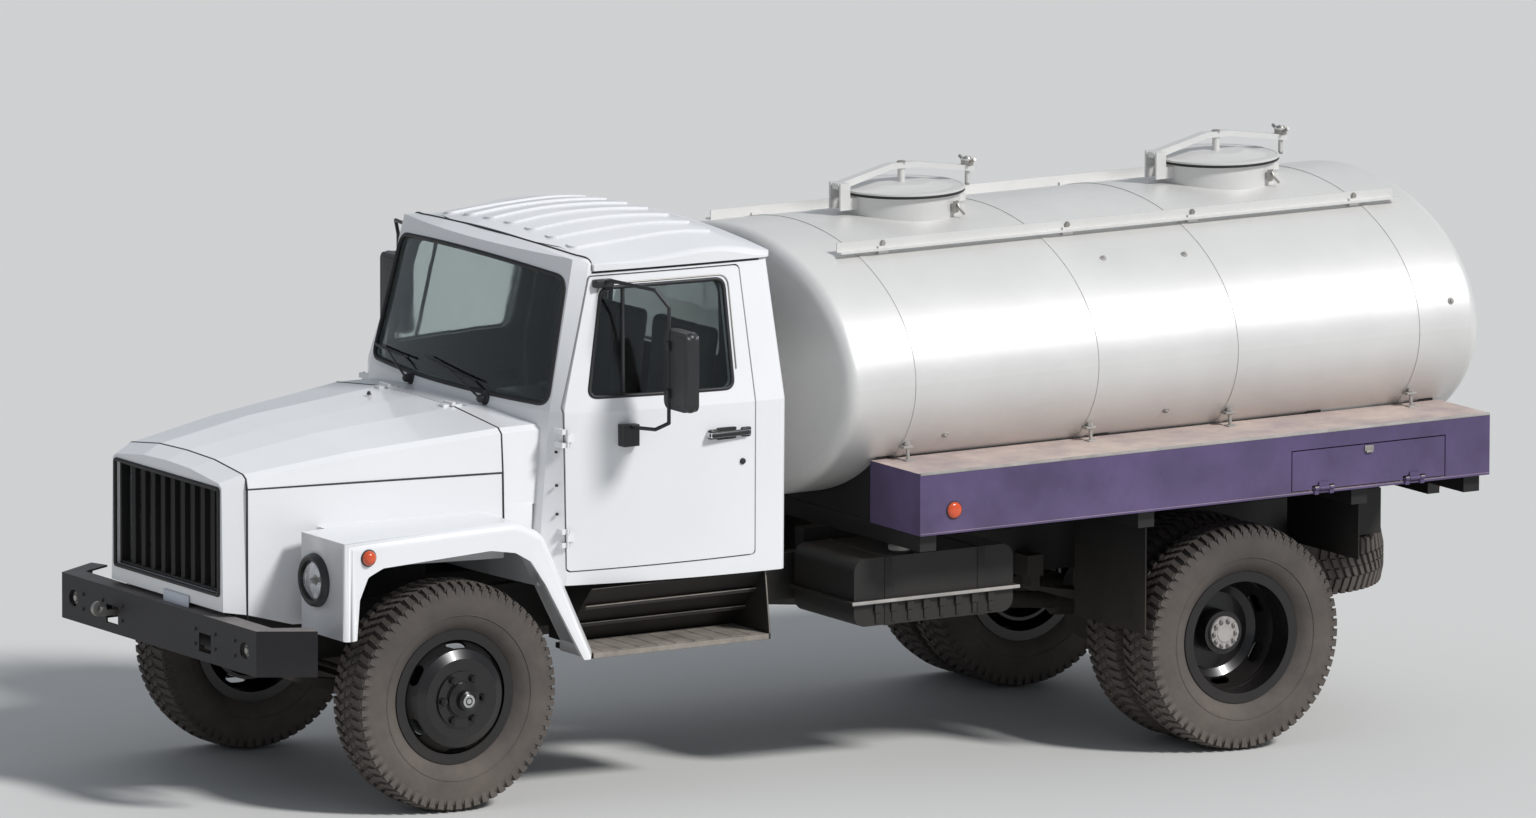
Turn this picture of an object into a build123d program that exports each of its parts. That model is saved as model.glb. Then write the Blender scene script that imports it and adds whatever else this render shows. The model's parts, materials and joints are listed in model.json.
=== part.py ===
from build123d import *
import os
from math import atan, cos, degrees, radians, sin, sqrt

# A two-axle milk tanker with a conventional cab, in millimetres.
# It is drawn level: +X forward from the front axle, +Y left, +Z up from the front wheels' contact.
# At the end it is set on the ground, nose down, with its box centred on the origin.

# Wheels and axles
wheelbase = 3770
front_wheel_y = 809
rear_track = 1690
dual_spacing = 280
front_axle_z = 482
rear_axle_z = 395
tyre_radius = 482
tyre_half_width = 118
bead_radius = 254
bead_half = 75
flange_radius = 281
rim_half_width = 83
disc_offset = 137
disc_thickness = 10
window_length = 46
window_radius = 23
hub_radius = 78
spindle_radius = 30
shaft_clearance = 0.05
king_pin_y = 700
king_pin_radius = 16
arm_length = 180
arm_drop = 85
rake = degrees(atan((front_axle_z - rear_axle_z) / wheelbase))

# Frame
rail_outer_y = 432.5
rail_height = 195
rail_bottom_z = 640
rail_flange = 65
rail_sheet = 8
rail_front_x = 781
rail_rear_x = -4900
rail_top_z = rail_bottom_z + rail_height

# Gaps
running_gap = 6
seat_gap = 0.3

# Tank
tank_half_width = 968
tank_half_height = 568
tank_z = 1600
tank_front_x = -1875
tank_rear_x = rail_rear_x - 150
head_radius = 55
strap_x = (-2220, -3130, -3830, -4750)
strap_width = 34
strap_sheet = 3
manhole_x = (-2742, -4330)
neck_radius = 250
neck_wall = 10
neck_top_z = 2248
lid_radius = 267
lid_thickness = 20
lid_hinge_reach = 318
lid_hinge_z = 2290

# Side boxes beside the tank
box_front_x = -2085
box_rear_x = tank_rear_x + 105
box_outer_y = 1190
box_inner_y = 800
box_top_z = 1268
box_bottom_z = 1005
box_sheet = 20
locker_length = 774
locker_rear_x = box_rear_x + 229
locker_front_x = locker_rear_x + locker_length
locker_top_z = 1192
locker_bottom_z = 1020

# Cab panels
cab_wall = 40
cab_floor_z = 880
cab_belt_z = 1600
cab_gutter_z = 2175
floor_thickness = 40
door_front_x = -590
door_rear_x = -1428
door_bottom_z = 940
door_top_z = 2150
door_top_front_x = -748
door_top_rear_x = -1440
back_split_x = -1490
door_axis_x = -590
door_axis_y = 822
hinge_radius = 9
hinge_pin_radius = 5
door_hinge_radius = 7
door_pin_radius = 4

# Front end
hood_front_x = 752
hood_rear_x = -352
cowl_front_x = -360
hood_sheet = 22
hood_lower_z = 1362
panel_rear_x = 758
panel_front_x = 852
panel_bottom_z = rail_top_z + seat_gap
grille_half_width = 419
grille_bottom_z = 920
grille_top_z = 1356
grille_bars = 9
bumper_x = 895
bumper_hole_y = 380
bumper_hole_half = 48
bumper_flat_y = 795
bumper_end_x = 678
bumper_end_y = 925
bumper_bottom_z = 636
bumper_top_z = 828
bumper_depth = 95
bumper_sheet = 8

# Front wings
wing_outer_y = 970
wing_sheet = 15
wing_front_x = 562
pod_inner_y = 600
pod_rear_x = 450


def block(x_low, x_high, y_low, y_high, z_low, z_high):
    centre = ((x_low + x_high) / 2, (y_low + y_high) / 2, (z_low + z_high) / 2)
    return Pos(*centre) * Box(x_high - x_low, y_high - y_low, z_high - z_low)


def outline(points, radius=0):
    if radius:
        return make_face(FilletPolyline(*points, radius=radius, close=True))
    return make_face(Polyline(*points, close=True))


def side_prism(points, y_low, y_high, radius=0):
    """A solid whose side view is the (x, z) points."""
    view = Plane(origin=(0, y_high, 0), x_dir=(1, 0, 0), z_dir=(0, -1, 0))
    return extrude(view * outline(points, radius), amount=y_high - y_low)


def front_prism(points, x_low, x_high, radius=0):
    """A solid whose front view is the (y, z) points."""
    view = Plane(origin=(x_low, 0, 0), x_dir=(0, 1, 0), z_dir=(1, 0, 0))
    return extrude(view * outline(points, radius), amount=x_high - x_low)


def plan_prism(points, z_low, z_high, radius=0):
    """A solid whose plan view is the (x, y) points."""
    return extrude(Plane.XY.offset(z_low) * outline(points, radius), amount=z_high - z_low)


def rod(start, end, radius):
    start, end = Vector(*start), Vector(*end)
    along = Plane(origin=start, z_dir=end - start)
    upright = (Align.CENTER, Align.CENTER, Align.MIN)
    return along * Cylinder(radius, (end - start).length, align=upright)


def tube_run(points, radius):
    """Straight tubes along the points, with a ball at each bend."""
    runs = [rod(a, b, radius) for a, b in zip(points, points[1:])]
    balls = [Pos(*p) * Sphere(radius) for p in points[1:-1]]
    return Part() + runs + balls


def both_sides(shape):
    return [shape, mirror(shape, about=Plane.XZ)]


def turned_to_y(shape, place, outward):
    """Sets a wheel piece, made about Z, on the axle: its +Z side looks outward."""
    return Plane(origin=place, x_dir=(1, 0, 0), z_dir=(0, outward, 0)) * shape


# Wheels

def tyre():
    # Half section: distance from the axle, distance from the middle plane
    half = [(bead_radius, bead_half), (flange_radius + 4, bead_half), (304, 100), (372, tyre_half_width),
            (436, 112), (466, 98), (tyre_radius, 70)]
    points = [(r, w) for r, w in half] + [(r, -w) for r, w in reversed(half)]
    section = Plane.XZ * outline(points)
    return revolve(section, Axis.Z)


def rim():
    """Barrel, flanges and a disc whose outer face stands off the middle plane by the offset."""
    barrel_radius = bead_radius - 0.3
    inner_half = bead_half + seat_gap
    half = [(flange_radius, rim_half_width), (flange_radius, inner_half), (barrel_radius, inner_half)]
    outside = half + [(r, -w) for r, w in reversed(half)]
    inside = [(barrel_radius - 14, -rim_half_width), (barrel_radius - 14, rim_half_width)]
    barrel = revolve(Plane.XZ * outline(outside + inside), Axis.Z)
    back = disc_offset - disc_thickness
    disc_points = [
        (barrel_radius - 2, 20), (barrel_radius - 2, 50), (205, 118), (168, disc_offset),
        (40, disc_offset), (40, back), (164, back), (198, 108), (barrel_radius - 16, 34),
        (barrel_radius - 16, 20),
    ]
    disc = revolve(Plane.XZ * outline(disc_points), Axis.Z)
    window = SlotOverall(2 * window_length, 2 * window_radius, rotation=90)
    hole = Pos(212, 0, 85) * Rot(0, 58, 0) * extrude(window, amount=45, both=True)
    return barrel + (disc - [Rot(0, 0, 60 * i + 30) * hole for i in range(6)])


def front_rim():
    hub = Pos(0, 0, 55) * Cylinder(hub_radius, 190)
    cap_line = [(0, 140), (76, 140), (72, 158), (44, 166), (40, 190), (28, 198), (0, 198)]
    cap = revolve(Plane.XZ * outline(cap_line), Axis.Z) + Pos(0, 0, 141) * Cylinder(118, 10)
    drum = Pos(0, 0, -2) * (Cylinder(190, 92) - Pos(0, 0, -12) * Cylinder(176, 92))
    studs = [Rot(0, 0, 60 * i) * Pos(96, 0, 152) * Cylinder(12, 26) for i in range(6)]
    whole = rim() + hub + cap + drum + studs
    return whole - Pos(0, 0, 20) * Cylinder(spindle_radius + shaft_clearance, 210)


def wheel_places():
    """Name, x, y, z and outward direction of each front wheel."""
    for name, side in (("left", 1), ("right", -1)):
        yield name, side


rims, tyres = {}, {}
for name, side in wheel_places():
    place = (0, side * front_wheel_y, front_axle_z)
    rims["front_" + name] = turned_to_y(front_rim(), place, side)
    tyres["front_" + name] = turned_to_y(tyre(), place, side)

rear_inner_y = rear_track / 2 - dual_spacing / 2
rear_outer_y = rear_track / 2 + dual_spacing / 2
rear_spindle_radius = 34
for name, side in wheel_places():
    inner = turned_to_y(rim(), (-wheelbase, side * rear_inner_y, rear_axle_z), side)
    outer = turned_to_y(rim(), (-wheelbase, side * rear_outer_y, rear_axle_z), -side)
    centre = (-wheelbase, side * rear_track / 2, rear_axle_z)
    hub = Pos(0, 0, -18) * Cylinder(92, 210) + Cylinder(112, 24)
    flange = Pos(0, 0, 92) * Cylinder(70, 12)
    studs = [Rot(0, 0, 36 * i) * Pos(54, 0, 102) * Cylinder(8, 16) for i in range(10)]
    drum = Pos(0, 0, -150) * (Cylinder(196, 120) - Pos(0, 0, -12) * Cylinder(182, 120))
    bore = Pos(0, 0, -60) * Cylinder(rear_spindle_radius + shaft_clearance, 290)
    carrier = turned_to_y(hub + flange + studs + drum, centre, side)
    rims["rear_" + name] = inner + outer + carrier - turned_to_y(bore, centre, side)
    pair = [
        turned_to_y(tyre(), (-wheelbase, side * y, rear_axle_z), side)
        for y in (rear_inner_y, rear_outer_y)
    ]
    tyres["rear_" + name] = Compound(children=pair)

spare_behind_axle = 855
spare_centre = (-wheelbase - spare_behind_axle, 0, 515)
spare_wheel = Pos(*spare_centre) * (tyre() + Rot(180, 0, 0) * rim())

# Axles

lug_gap = 2
boss_half = 40
lug_thickness = 40
boss_radius = 34
beam_low_z = 400
boss = Pos(0, king_pin_y, front_axle_z) * Cylinder(boss_radius, 2 * boss_half)
beam_half = front_prism(
    [(-1, 372), (-1, 430), (520, 430), (640, 512), (king_pin_y, 512), (king_pin_y, 452),
     (655, 452), (540, 372)], -32, 32)
beam_half = beam_half + boss
beam_half -= Pos(0, king_pin_y, front_axle_z) * Cylinder(king_pin_radius + shaft_clearance, 200)
front_axle = beam_half + mirror(beam_half, about=Plane.XZ)


def knuckle():
    """The left steering knuckle about its king pin."""
    lug_low = boss_half + lug_gap
    height = lug_low + lug_thickness
    pin = Pos(0, king_pin_y, front_axle_z) * Cylinder(king_pin_radius, 2 * height)
    lugs = []
    for z_low in (front_axle_z + lug_low, front_axle_z - height):
        lug = block(-34, 34, king_pin_y, king_pin_y + 62, z_low, z_low + lug_thickness)
        lug += Pos(0, king_pin_y, z_low + lug_thickness / 2) * Cylinder(34, lug_thickness)
        lugs.append(lug)
    web_y = king_pin_y + boss_radius + 8
    web = block(-50, 50, web_y, web_y + 20, front_axle_z - height, front_axle_z + height)
    spindle = rod((0, web_y, front_axle_z), (0, front_wheel_y + 118, front_axle_z), spindle_radius)
    arm_z = front_axle_z - arm_drop
    arm = block(-arm_length, -20, king_pin_y - 12, king_pin_y + 12, arm_z + 11, arm_z + 33)
    ball = rod((-arm_length, king_pin_y, arm_z - 18), (-arm_length, king_pin_y, arm_z + 33), 9)
    eye = rod((-arm_length, king_pin_y, arm_z + 11), (-arm_length, king_pin_y, arm_z + 33), 18)
    return Part() + [pin] + lugs + [web, spindle, arm, ball, eye]


knuckle_left = knuckle()
knuckle_right = mirror(knuckle_left, about=Plane.XZ)

tie_z = front_axle_z - arm_drop
tie_bore = 9 + shaft_clearance
tie_left = Pos(-arm_length, king_pin_y, tie_z - 4) * Cylinder(19, 24)
tie_left -= Pos(-arm_length, king_pin_y, tie_z - 4) * Cylinder(tie_bore, 60)
free_bore = 15
tie_right = Pos(-arm_length, -king_pin_y, tie_z - 4) * (Cylinder(24, 24) - Cylinder(free_bore, 60))
tie_bar = rod((-arm_length, king_pin_y - 14, tie_z - 4), (-arm_length, 19.5 - king_pin_y, tie_z - 4), 10)
tie_rod = tie_left + tie_bar + tie_right

axle_tube = rod((-wheelbase, -640, rear_axle_z), (-wheelbase, 640, rear_axle_z), 55)
rear_spindle_end = rear_track / 2 + 70
spindles = rod((-wheelbase, -rear_spindle_end, rear_axle_z), (-wheelbase, rear_spindle_end, rear_axle_z),
               rear_spindle_radius)
differential = Pos(-wheelbase, 0, rear_axle_z) * Rot(0, 90, 0) * Cylinder(165, 210)
nose = rod((-wheelbase, 0, rear_axle_z), (-wheelbase + 260, 0, rear_axle_z + 18), 62)
shaft = rod((-wheelbase + 250, 0, rear_axle_z + 18), (-934.5, 0, 690), 36)
spring_width = 65
spring_tyre_gap = 52.5
rear_spring_y = rear_inner_y - tyre_half_width - spring_tyre_gap - spring_width / 2
pads = both_sides(block(-wheelbase - 60, -wheelbase + 60, rear_spring_y - 36, rear_spring_y + 36,
                        rear_axle_z, rear_axle_z + 62))
rear_axle = axle_tube + spindles + differential + nose + shaft + pads


def leaf_spring(x, y, half_length, seat_z, pack, rise):
    """A leaf pack seated on its axle, with its two hangers under or beside the rail."""
    end_z = seat_z + pack + rise
    top = ThreePointArc((-half_length, end_z), (0, seat_z + pack), (half_length, end_z))
    under = ThreePointArc((half_length, end_z - 14), (0, seat_z), (-half_length, end_z - 14))
    ends = [Line(top @ 1, under @ 0), Line(under @ 1, top @ 0)]
    view = Plane(origin=(x, y + spring_width / 2, 0), x_dir=(1, 0, 0), z_dir=(0, -1, 0))
    pack_solid = extrude(view * make_face([top, under] + ends), amount=spring_width)
    pack_solid += block(x - 60, x + 60, y - spring_width / 2, y + spring_width / 2, seat_z, seat_z + pack + 12)
    for end in (-half_length, half_length):
        eye = rod((x + end, y - spring_width / 2, end_z), (x + end, y + spring_width / 2, end_z), 24)
        low_y, high_y = y - spring_width / 2, y + spring_width / 2
        hanger = block(x + end - 22, x + end + 22, low_y, high_y, end_z, rail_bottom_z)
        if low_y > rail_outer_y:
            hanger += block(x + end - 40, x + end + 40, rail_outer_y, high_y,
                            rail_bottom_z, rail_bottom_z + 90)
        pack_solid += eye + hanger
    return pack_solid


front_spring_y = 396
front_spring = leaf_spring(0, front_spring_y, 610, 430, 58, 96)
rear_spring = leaf_spring(-wheelbase, rear_spring_y, 690, rear_axle_z + 62, 66, 77)
leaf_springs = Compound(children=both_sides(front_spring) + both_sides(rear_spring))

# Frame

rail_section = [
    (rail_outer_y, rail_bottom_z), (rail_outer_y, rail_top_z), (rail_outer_y - rail_flange, rail_top_z),
    (rail_outer_y - rail_flange, rail_top_z - rail_sheet), (rail_outer_y - rail_sheet, rail_top_z - rail_sheet),
    (rail_outer_y - rail_sheet, rail_bottom_z + rail_sheet),
    (rail_outer_y - rail_flange, rail_bottom_z + rail_sheet), (rail_outer_y - rail_flange, rail_bottom_z),
]
rail = front_prism(rail_section, rail_rear_x, rail_front_x)
frame_rails = Compound(children=both_sides(rail))

member_depth = 90
# Middle of each crossmember, and its lower edge
cross_list = (
    (700, 648),
    (-1010, 752),
    (-1640, 704),
    (-2450, 648),
    (-3180, 648),
    (-4250, 648),
    (rail_rear_x + 60, 648),
)
members = []
for x, low in cross_list:
    half = rail_outer_y - rail_sheet
    body = block(x - member_depth / 2, x + member_depth / 2, -half, half, low, rail_top_z - rail_sheet)
    body -= block(x - member_depth / 2 + 8, x + member_depth / 2 - 8, -half, half,
                  low, rail_top_z - rail_sheet - 8)
    members.append(body)
spare_seat_z = spare_centre[2] - disc_offset - seat_gap
spare_post = rod((spare_centre[0], 0, spare_seat_z - 30), (spare_centre[0], 0, rail_top_z - 100), 22)
spare_post += rod((spare_centre[0], 0, spare_seat_z - 12), (spare_centre[0], 0, spare_seat_z), 75)
spare_bar = block(spare_centre[0] - 35, spare_centre[0] + 35, -rail_outer_y + rail_sheet,
                  rail_outer_y - rail_sheet, rail_bottom_z + 60, rail_bottom_z + 130)
members.append(spare_bar + spare_post)
frame_crossmembers = Compound(children=members)


def bumper_band(front, back, z_low, z_high):
    """The bumper's plan shape between two distances behind its front face."""
    lean = (bumper_x - bumper_end_x) / (bumper_end_y - bumper_flat_y)
    half = [(bumper_x - front, bumper_flat_y - front * 0.35),
            (bumper_end_x - front * 0.3, bumper_end_y - front * 0.9)]
    rear = [(bumper_end_x - back * 0.3, bumper_end_y - back * 0.9),
            (bumper_x - back, bumper_flat_y - back * 0.35)]
    left = half + rear
    right = [(x, -y) for x, y in reversed(left)]
    return plan_prism(left + right, z_low, z_high)


front_bumper = bumper_band(0, bumper_depth, bumper_bottom_z, bumper_top_z)
front_bumper -= bumper_band(bumper_sheet, bumper_depth + 20, bumper_bottom_z + bumper_sheet,
                            bumper_top_z - bumper_sheet)
for side in (-1, 1):
    middle = side * bumper_hole_y
    front_bumper -= block(bumper_x - 20, bumper_x + 5, middle - bumper_hole_half, middle + bumper_hole_half,
                          672, 752)
    hole = Plane(origin=(bumper_x - 30, side * 700, 732), z_dir=(1, 0, 0)) * Cylinder(36, 90)
    front_bumper -= hole
# The bumper is tied to the rails by two brackets
bracket = block(rail_front_x - 60, bumper_x - bumper_sheet, rail_outer_y, rail_outer_y + 50, 690, 770)
front_bumper += both_sides(bracket)
# It is made of lengths that meet at the sides of the square holes
hole_near = bumper_hole_y - bumper_hole_half
hole_far = bumper_hole_y + bumper_hole_half
bumper_edges = (-1000, -hole_far, -hole_near, hole_near, hole_far, 1000)
front_bumper = Compound(children=[
    front_bumper & block(0, bumper_x + 10, low, high, 0, 1000)
    for low, high in zip(bumper_edges, bumper_edges[1:])
])

# A tow hook bolted to the right bracket reaches out through the hole
hook_y = 408
hook_width = 22
hook_eye = (bumper_x + 48, 738)
hook_ring = Cylinder(32, hook_width) - Cylinder(15, 60) - Pos(-26, 20, 0) * Box(50, 26, 60)
hook_view = Plane(origin=(hook_eye[0], -hook_y, hook_eye[1]), x_dir=(1, 0, 0), z_dir=(0, -1, 0))
tow_hook = hook_view * hook_ring
tow_hook += block(rail_front_x + 6, hook_eye[0] - 12, -hook_y - hook_width / 2, -hook_y + hook_width / 2,
                  hook_eye[1] - 32, hook_eye[1] - 8)
tow_hook += block(rail_front_x + 6, bumper_x - 30, -rail_outer_y + seat_gap, -hook_y, hook_eye[1] - 40,
                  hook_eye[1] + 20)

# Engine and radiator

engine_half_width = 225
engine_block = block(-260, 540, -engine_half_width, engine_half_width, 560, 1190)
gearbox = block(-930, -260, -150, 150, 590, 850)
radiator = block(640, 715, -330, 330, rail_top_z - rail_sheet + seat_gap, 1330)
engine_mounts = both_sides(block(180, 260, engine_half_width, rail_outer_y - rail_sheet, 700, 760))
engine = engine_block + gearbox + engine_mounts
engine = Compound(children=[engine, radiator])

# Hood, front panel and grille

# Half sections of the hood, as (y, z) points from its lower edge to its middle
hood_sections = {
    hood_front_x: [(488, hood_lower_z), (478, 1402), (452, 1418), (225, 1446), (0, 1452)],
    300: [(568, hood_lower_z), (560, 1462), (535, 1482), (260, 1520), (0, 1524)],
    hood_rear_x: [(688, hood_lower_z), (676, 1520), (650, 1542), (300, 1578), (0, 1583)],
}


def hood_face(x, half, inset=0, drop=0):
    left = [(y - inset, z - inset) if y else (0, z - inset) for y, z in half]
    left[0] = (left[0][0], half[0][1] - drop)
    right = [(-y, z) for y, z in reversed(left[:-1])]
    view = Plane(origin=(x, 0, 0), x_dir=(0, 1, 0), z_dir=(1, 0, 0))
    return view * outline(left + right)


hood_outer = loft([hood_face(x, half) for x, half in sorted(hood_sections.items())], ruled=True)
inner_faces = [
    hood_face(x, half, hood_sheet, 30) for x, half in sorted(hood_sections.items())
]
hood = hood_outer - loft(inner_faces, ruled=True)
hood_hinge = (hood_rear_x - 4, 1588)
hood_hinge_y = 260
hinge_bar = 60


def hood_hinge_parts():
    """Two hinges at the hood's rear edge: a barrel on the hood and its pin on the cowl."""
    x, z = hood_hinge
    on_hood, on_cowl = [], []
    for side in (-1, 1):
        y = side * hood_hinge_y
        barrel = rod((x, y - 20, z), (x, y + 20, z), hinge_radius)
        barrel += block(x, x + 40, y - 20, y + 20, z - 20, z - 2)
        on_hood.append(barrel - rod((x, y - 30, z), (x, y + 30, z), hinge_pin_radius + shaft_clearance))
        pin = rod((x, y - 36, z), (x, y + 36, z), hinge_pin_radius)
        for ear in (-1, 1):
            middle = y + ear * 29
            pin += block(x - 40, x, middle - 7, middle + 7, z - 20, z - 2)
            pin += rod((x, middle - 7, z), (x, middle + 7, z), hinge_radius)
        on_cowl.append(pin)
    return on_hood, on_cowl


hood_barrels, cowl_pins = hood_hinge_parts()
barrel_room = [
    block(hood_hinge[0] - 60, hood_hinge[0] + 3, side * hood_hinge_y - 45, side * hood_hinge_y + 45,
          hood_hinge[1] - hinge_radius - 6, hood_hinge[1] + 30)
    for side in (-1, 1)
]
hood_room = [
    block(hood_hinge[0], hood_hinge[0] + 16, side * hood_hinge_y + ear * 29 - 13,
          side * hood_hinge_y + ear * 29 + 13, hood_hinge[1] - hinge_radius - 8, hood_hinge[1] + 30)
    for side in (-1, 1) for ear in (-1, 1)
]
hood = hood - hood_room + hood_barrels

panel_half = hood_sections[hood_front_x][:]
panel_half[0] = (490, panel_bottom_z)
panel_inset = 34
panel_back = hood_face(panel_rear_x, panel_half)
panel_front_half = [(y - panel_inset if y else 0, z - panel_inset) for y, z in panel_half]
panel_front_half[0] = (490 - panel_inset, panel_bottom_z + 14)
panel_front = hood_face(panel_front_x, panel_front_half)
front_panel = loft([panel_back, panel_front], ruled=True)
front_panel -= block(panel_rear_x - 5, panel_front_x + 5, -grille_half_width, grille_half_width,
                     grille_bottom_z, grille_top_z)

grille_rear_x = 792
grille_front_x = 832
grille_edge = 14
half = grille_half_width - seat_gap
grille = block(grille_rear_x, grille_front_x, -half, half, grille_bottom_z + seat_gap, grille_top_z - seat_gap)
grille -= block(grille_rear_x - 5, grille_front_x + 5, -half + grille_edge, half - grille_edge,
                grille_bottom_z + grille_edge, grille_top_z - grille_edge)
bar_pitch = 2 * (half - grille_edge) / (grille_bars + 1)
bar_width = 22
for i in range(1, grille_bars + 1):
    y = -half + grille_edge + i * bar_pitch
    points = [(grille_rear_x + 4, y - bar_width / 2), (grille_front_x - 12, y - bar_width / 2),
              (grille_front_x, y), (grille_front_x - 12, y + bar_width / 2),
              (grille_rear_x + 4, y + bar_width / 2)]
    grille += plan_prism(points, grille_bottom_z + 4, grille_top_z - 4)

# Front wings with the sides of the engine bay

wing_line = [(wing_front_x, 500), (wing_front_x, 1183), (-263, 1203), (-390, 1140), (-625, 641),
             (-610, 591), (-558, 547)]
wing_inner_line = [(wing_front_x - wing_sheet, 400), (wing_front_x - wing_sheet, 1168), (-259, 1187),
                   (-379, 1128), (-609, 639), (-609, 400)]
arch_line = [(510, 400), (516, 782), (503, 947), (462, 1039), (390, 1071), (-128, 1095), (-247, 1075),
             (-321, 1032), (-394, 924), (-579, 593), (-579, 400)]
below_lobes = [(700, 300), (700, 757), (462, 787), (0, 700), (-518, 627), (-568, 593), (-680, 593),
               (-680, 300)]


def wing_form(line, inner_y, outer_y, pod_y, pod_x, reach):
    """A wing solid: the full run behind the lamp pod, and the narrower pod in front of it."""
    run = side_prism(line, inner_y, outer_y) - block(pod_x, 2000, 0, 2000, 0, 2000)
    pod = side_prism(line, pod_y, outer_y) - block(-2000, pod_x - reach, 0, 2000, 0, 2000)
    return run + pod


wing_outside = wing_form(wing_line, 520, wing_outer_y, pod_inner_y, pod_rear_x, 30)
edge_face = wing_outside.faces().sort_by(Axis.Y)[-1]
crown_edges = [e for e in edge_face.edges() if e.center().Z > 620]
wing_outside = fillet(crown_edges, 38)
wing_inside = wing_form(wing_inner_line, 400, wing_outer_y - wing_sheet, pod_inner_y + wing_sheet,
                        pod_rear_x - wing_sheet, 30)
wing = wing_outside - wing_inside
wing -= side_prism(arch_line, wing_outer_y - 60, wing_outer_y + 10, radius=25)
wing -= side_prism(below_lobes, 300, wing_outer_y + 10)
# The bay side runs from the front panel to the cowl, and the wing's top meets it
bay_top_z = hood_lower_z - running_gap
bay_plan = [(panel_rear_x - seat_gap, 490), (cowl_front_x, 688), (cowl_front_x, 678), (panel_rear_x - seat_gap, 480)]
bay_line = [(panel_rear_x, panel_bottom_z), (panel_rear_x, bay_top_z), (cowl_front_x, bay_top_z),
            (cowl_front_x, 1000), (430, 1000), (450, 783), (560, 783)]
bay_side = plan_prism(bay_plan, 700, bay_top_z) & side_prism(bay_line, 300, 900)
bay_keep = plan_prism([(2000, 480), (panel_rear_x, 480), (cowl_front_x, 678), (-2000, 1000), (-2000, 3000),
                       (2000, 3000)], 0, 3000)
wing_left = (wing & bay_keep) + bay_side

# Cab shell, from plan sections

# Height, nose x, glass corner x y, door seam x y, mid side x y, rear x y
cab_sections = (
    (cab_floor_z, -440, -486, 745, -590, 812, -1000, 898, -1585, 942),
    (cab_belt_z, -480, -561, 721, -590, 790, -1000, 887, -1585, 947),
    (cab_gutter_z, -622, -691, 679, -748, 720, -1100, 757, -1590, 783),
)
# The head panel over the windscreen carries the same lines up to an edge, then slopes back to the roof
head_edge_row = (cab_gutter_z + 49, -634, -702, 675, -762, 707, -1100, 745, -1590, 770)
head_top_row = (cab_gutter_z + 77, -702, -755, 636, -765, 655, -1100, 700, -1590, 740)
head_rear_x = -768
head_half_width = 720
head_side_z = cab_gutter_z + 42
head_rise = 35
head_corner = 40
head_groove = 3
screen_rise = 30
rear_corner = 35


def cab_face(row, inset=0, z=None):
    height, nose, corner_x, corner_y, seam_x, seam_y, mid_x, mid_y, rear_x, rear_y = row
    height = height if z is None else z
    nose, corner_x, rear_x = nose - inset, corner_x - inset * 0.7, rear_x + inset
    corner_y, seam_y, mid_y, rear_y = (v - inset for v in (corner_y, seam_y, mid_y, rear_y))
    bend = rear_corner - min(inset, rear_corner - 20)
    middle = bend * (1 - sqrt(0.5))

    def at(x, y):
        return (x, y, height)

    edges = [ThreePointArc(at(corner_x, -corner_y), at(nose, 0), at(corner_x, corner_y))]
    for side in (1, -1):
        edges += [
            Line(at(corner_x, side * corner_y), at(seam_x, side * seam_y)),
            ThreePointArc(at(seam_x, side * seam_y), at(mid_x, side * mid_y), at(rear_x + bend, side * rear_y)),
            ThreePointArc(at(rear_x + bend, side * rear_y),
                          at(rear_x + middle, side * (rear_y - middle)),
                          at(rear_x, side * (rear_y - bend))),
        ]
    edges.append(Line(at(rear_x, rear_y - bend), at(rear_x, bend - rear_y)))
    return Face(Wire(edges))


def cab_loft(inset, extend=0):
    low, belt, high = cab_sections
    faces = [cab_face(low, inset), cab_face(belt, inset), cab_face(high, inset)]
    body = Solid.make_loft([f.outer_wire() for f in faces], ruled=True)
    if extend:
        below = extrude(faces[0], amount=extend, dir=(0, 0, -1))
        above = extrude(faces[2], amount=extend, dir=(0, 0, 1))
        body = Part() + body + below + above
    return Part() + body


cab_outside = cab_loft(0)
cab_inside = cab_loft(cab_wall, 20)
cab_shell = cab_outside - cab_inside
wing_cab_gap = 3
wing_left -= cab_loft(-wing_cab_gap)
front_fenders = Compound(children=both_sides(wing_left))


def under_arch(half, base_z, edge_z, rise, x_low, x_high, corner):
    """All below an arch across the cab, which springs at the edge height from rounded corners."""
    arch = ThreePointArc((half, edge_z), (0, edge_z + rise), (-half, edge_z))
    edges = [arch, Line((-half, edge_z), (-half, base_z)), Line((-half, base_z), (half, base_z)),
             Line((half, base_z), (half, edge_z))]
    face = make_face(edges)
    face = fillet([v for v in face.vertices() if v.Y > edge_z - 1], corner)
    view = Plane(origin=(x_low, 0, 0), x_dir=(0, 1, 0), z_dir=(1, 0, 0))
    return extrude(view * face, amount=x_high - x_low)


def head_room(grow):
    """The space under the head panel's arched top, grown a little to the top and the sides."""
    return under_arch(head_half_width + grow, cab_gutter_z - 10, head_side_z + grow, head_rise,
                      head_rear_x, -500, head_corner)


head_rows = [cab_face(row).outer_wire() for row in (cab_sections[2], head_edge_row, head_top_row)]
head_panel = (Part() + Solid.make_loft(head_rows, ruled=True)) & head_room(0)

door_line = [(door_front_x - 3, door_bottom_z), (door_front_x - 3, 1620), (door_top_front_x - 4, door_top_z),
             (door_top_rear_x, door_top_z), (door_rear_x, 1600), (door_rear_x, door_bottom_z + 18)]
door_opening = [
    (door_front_x + 3, door_bottom_z - 6), (door_front_x + 3, 1622), (door_top_front_x + 4, door_top_z + 6),
    (door_top_rear_x - 6, door_top_z + 6), (door_rear_x - 6, 1600), (door_rear_x - 6, door_bottom_z + 12),
]
window_line = [(-700, 1660), (-800, 2102), (-1362, 2102), (-1338, 1660)]
glass_depth = 14
glass_thickness = 5

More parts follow.
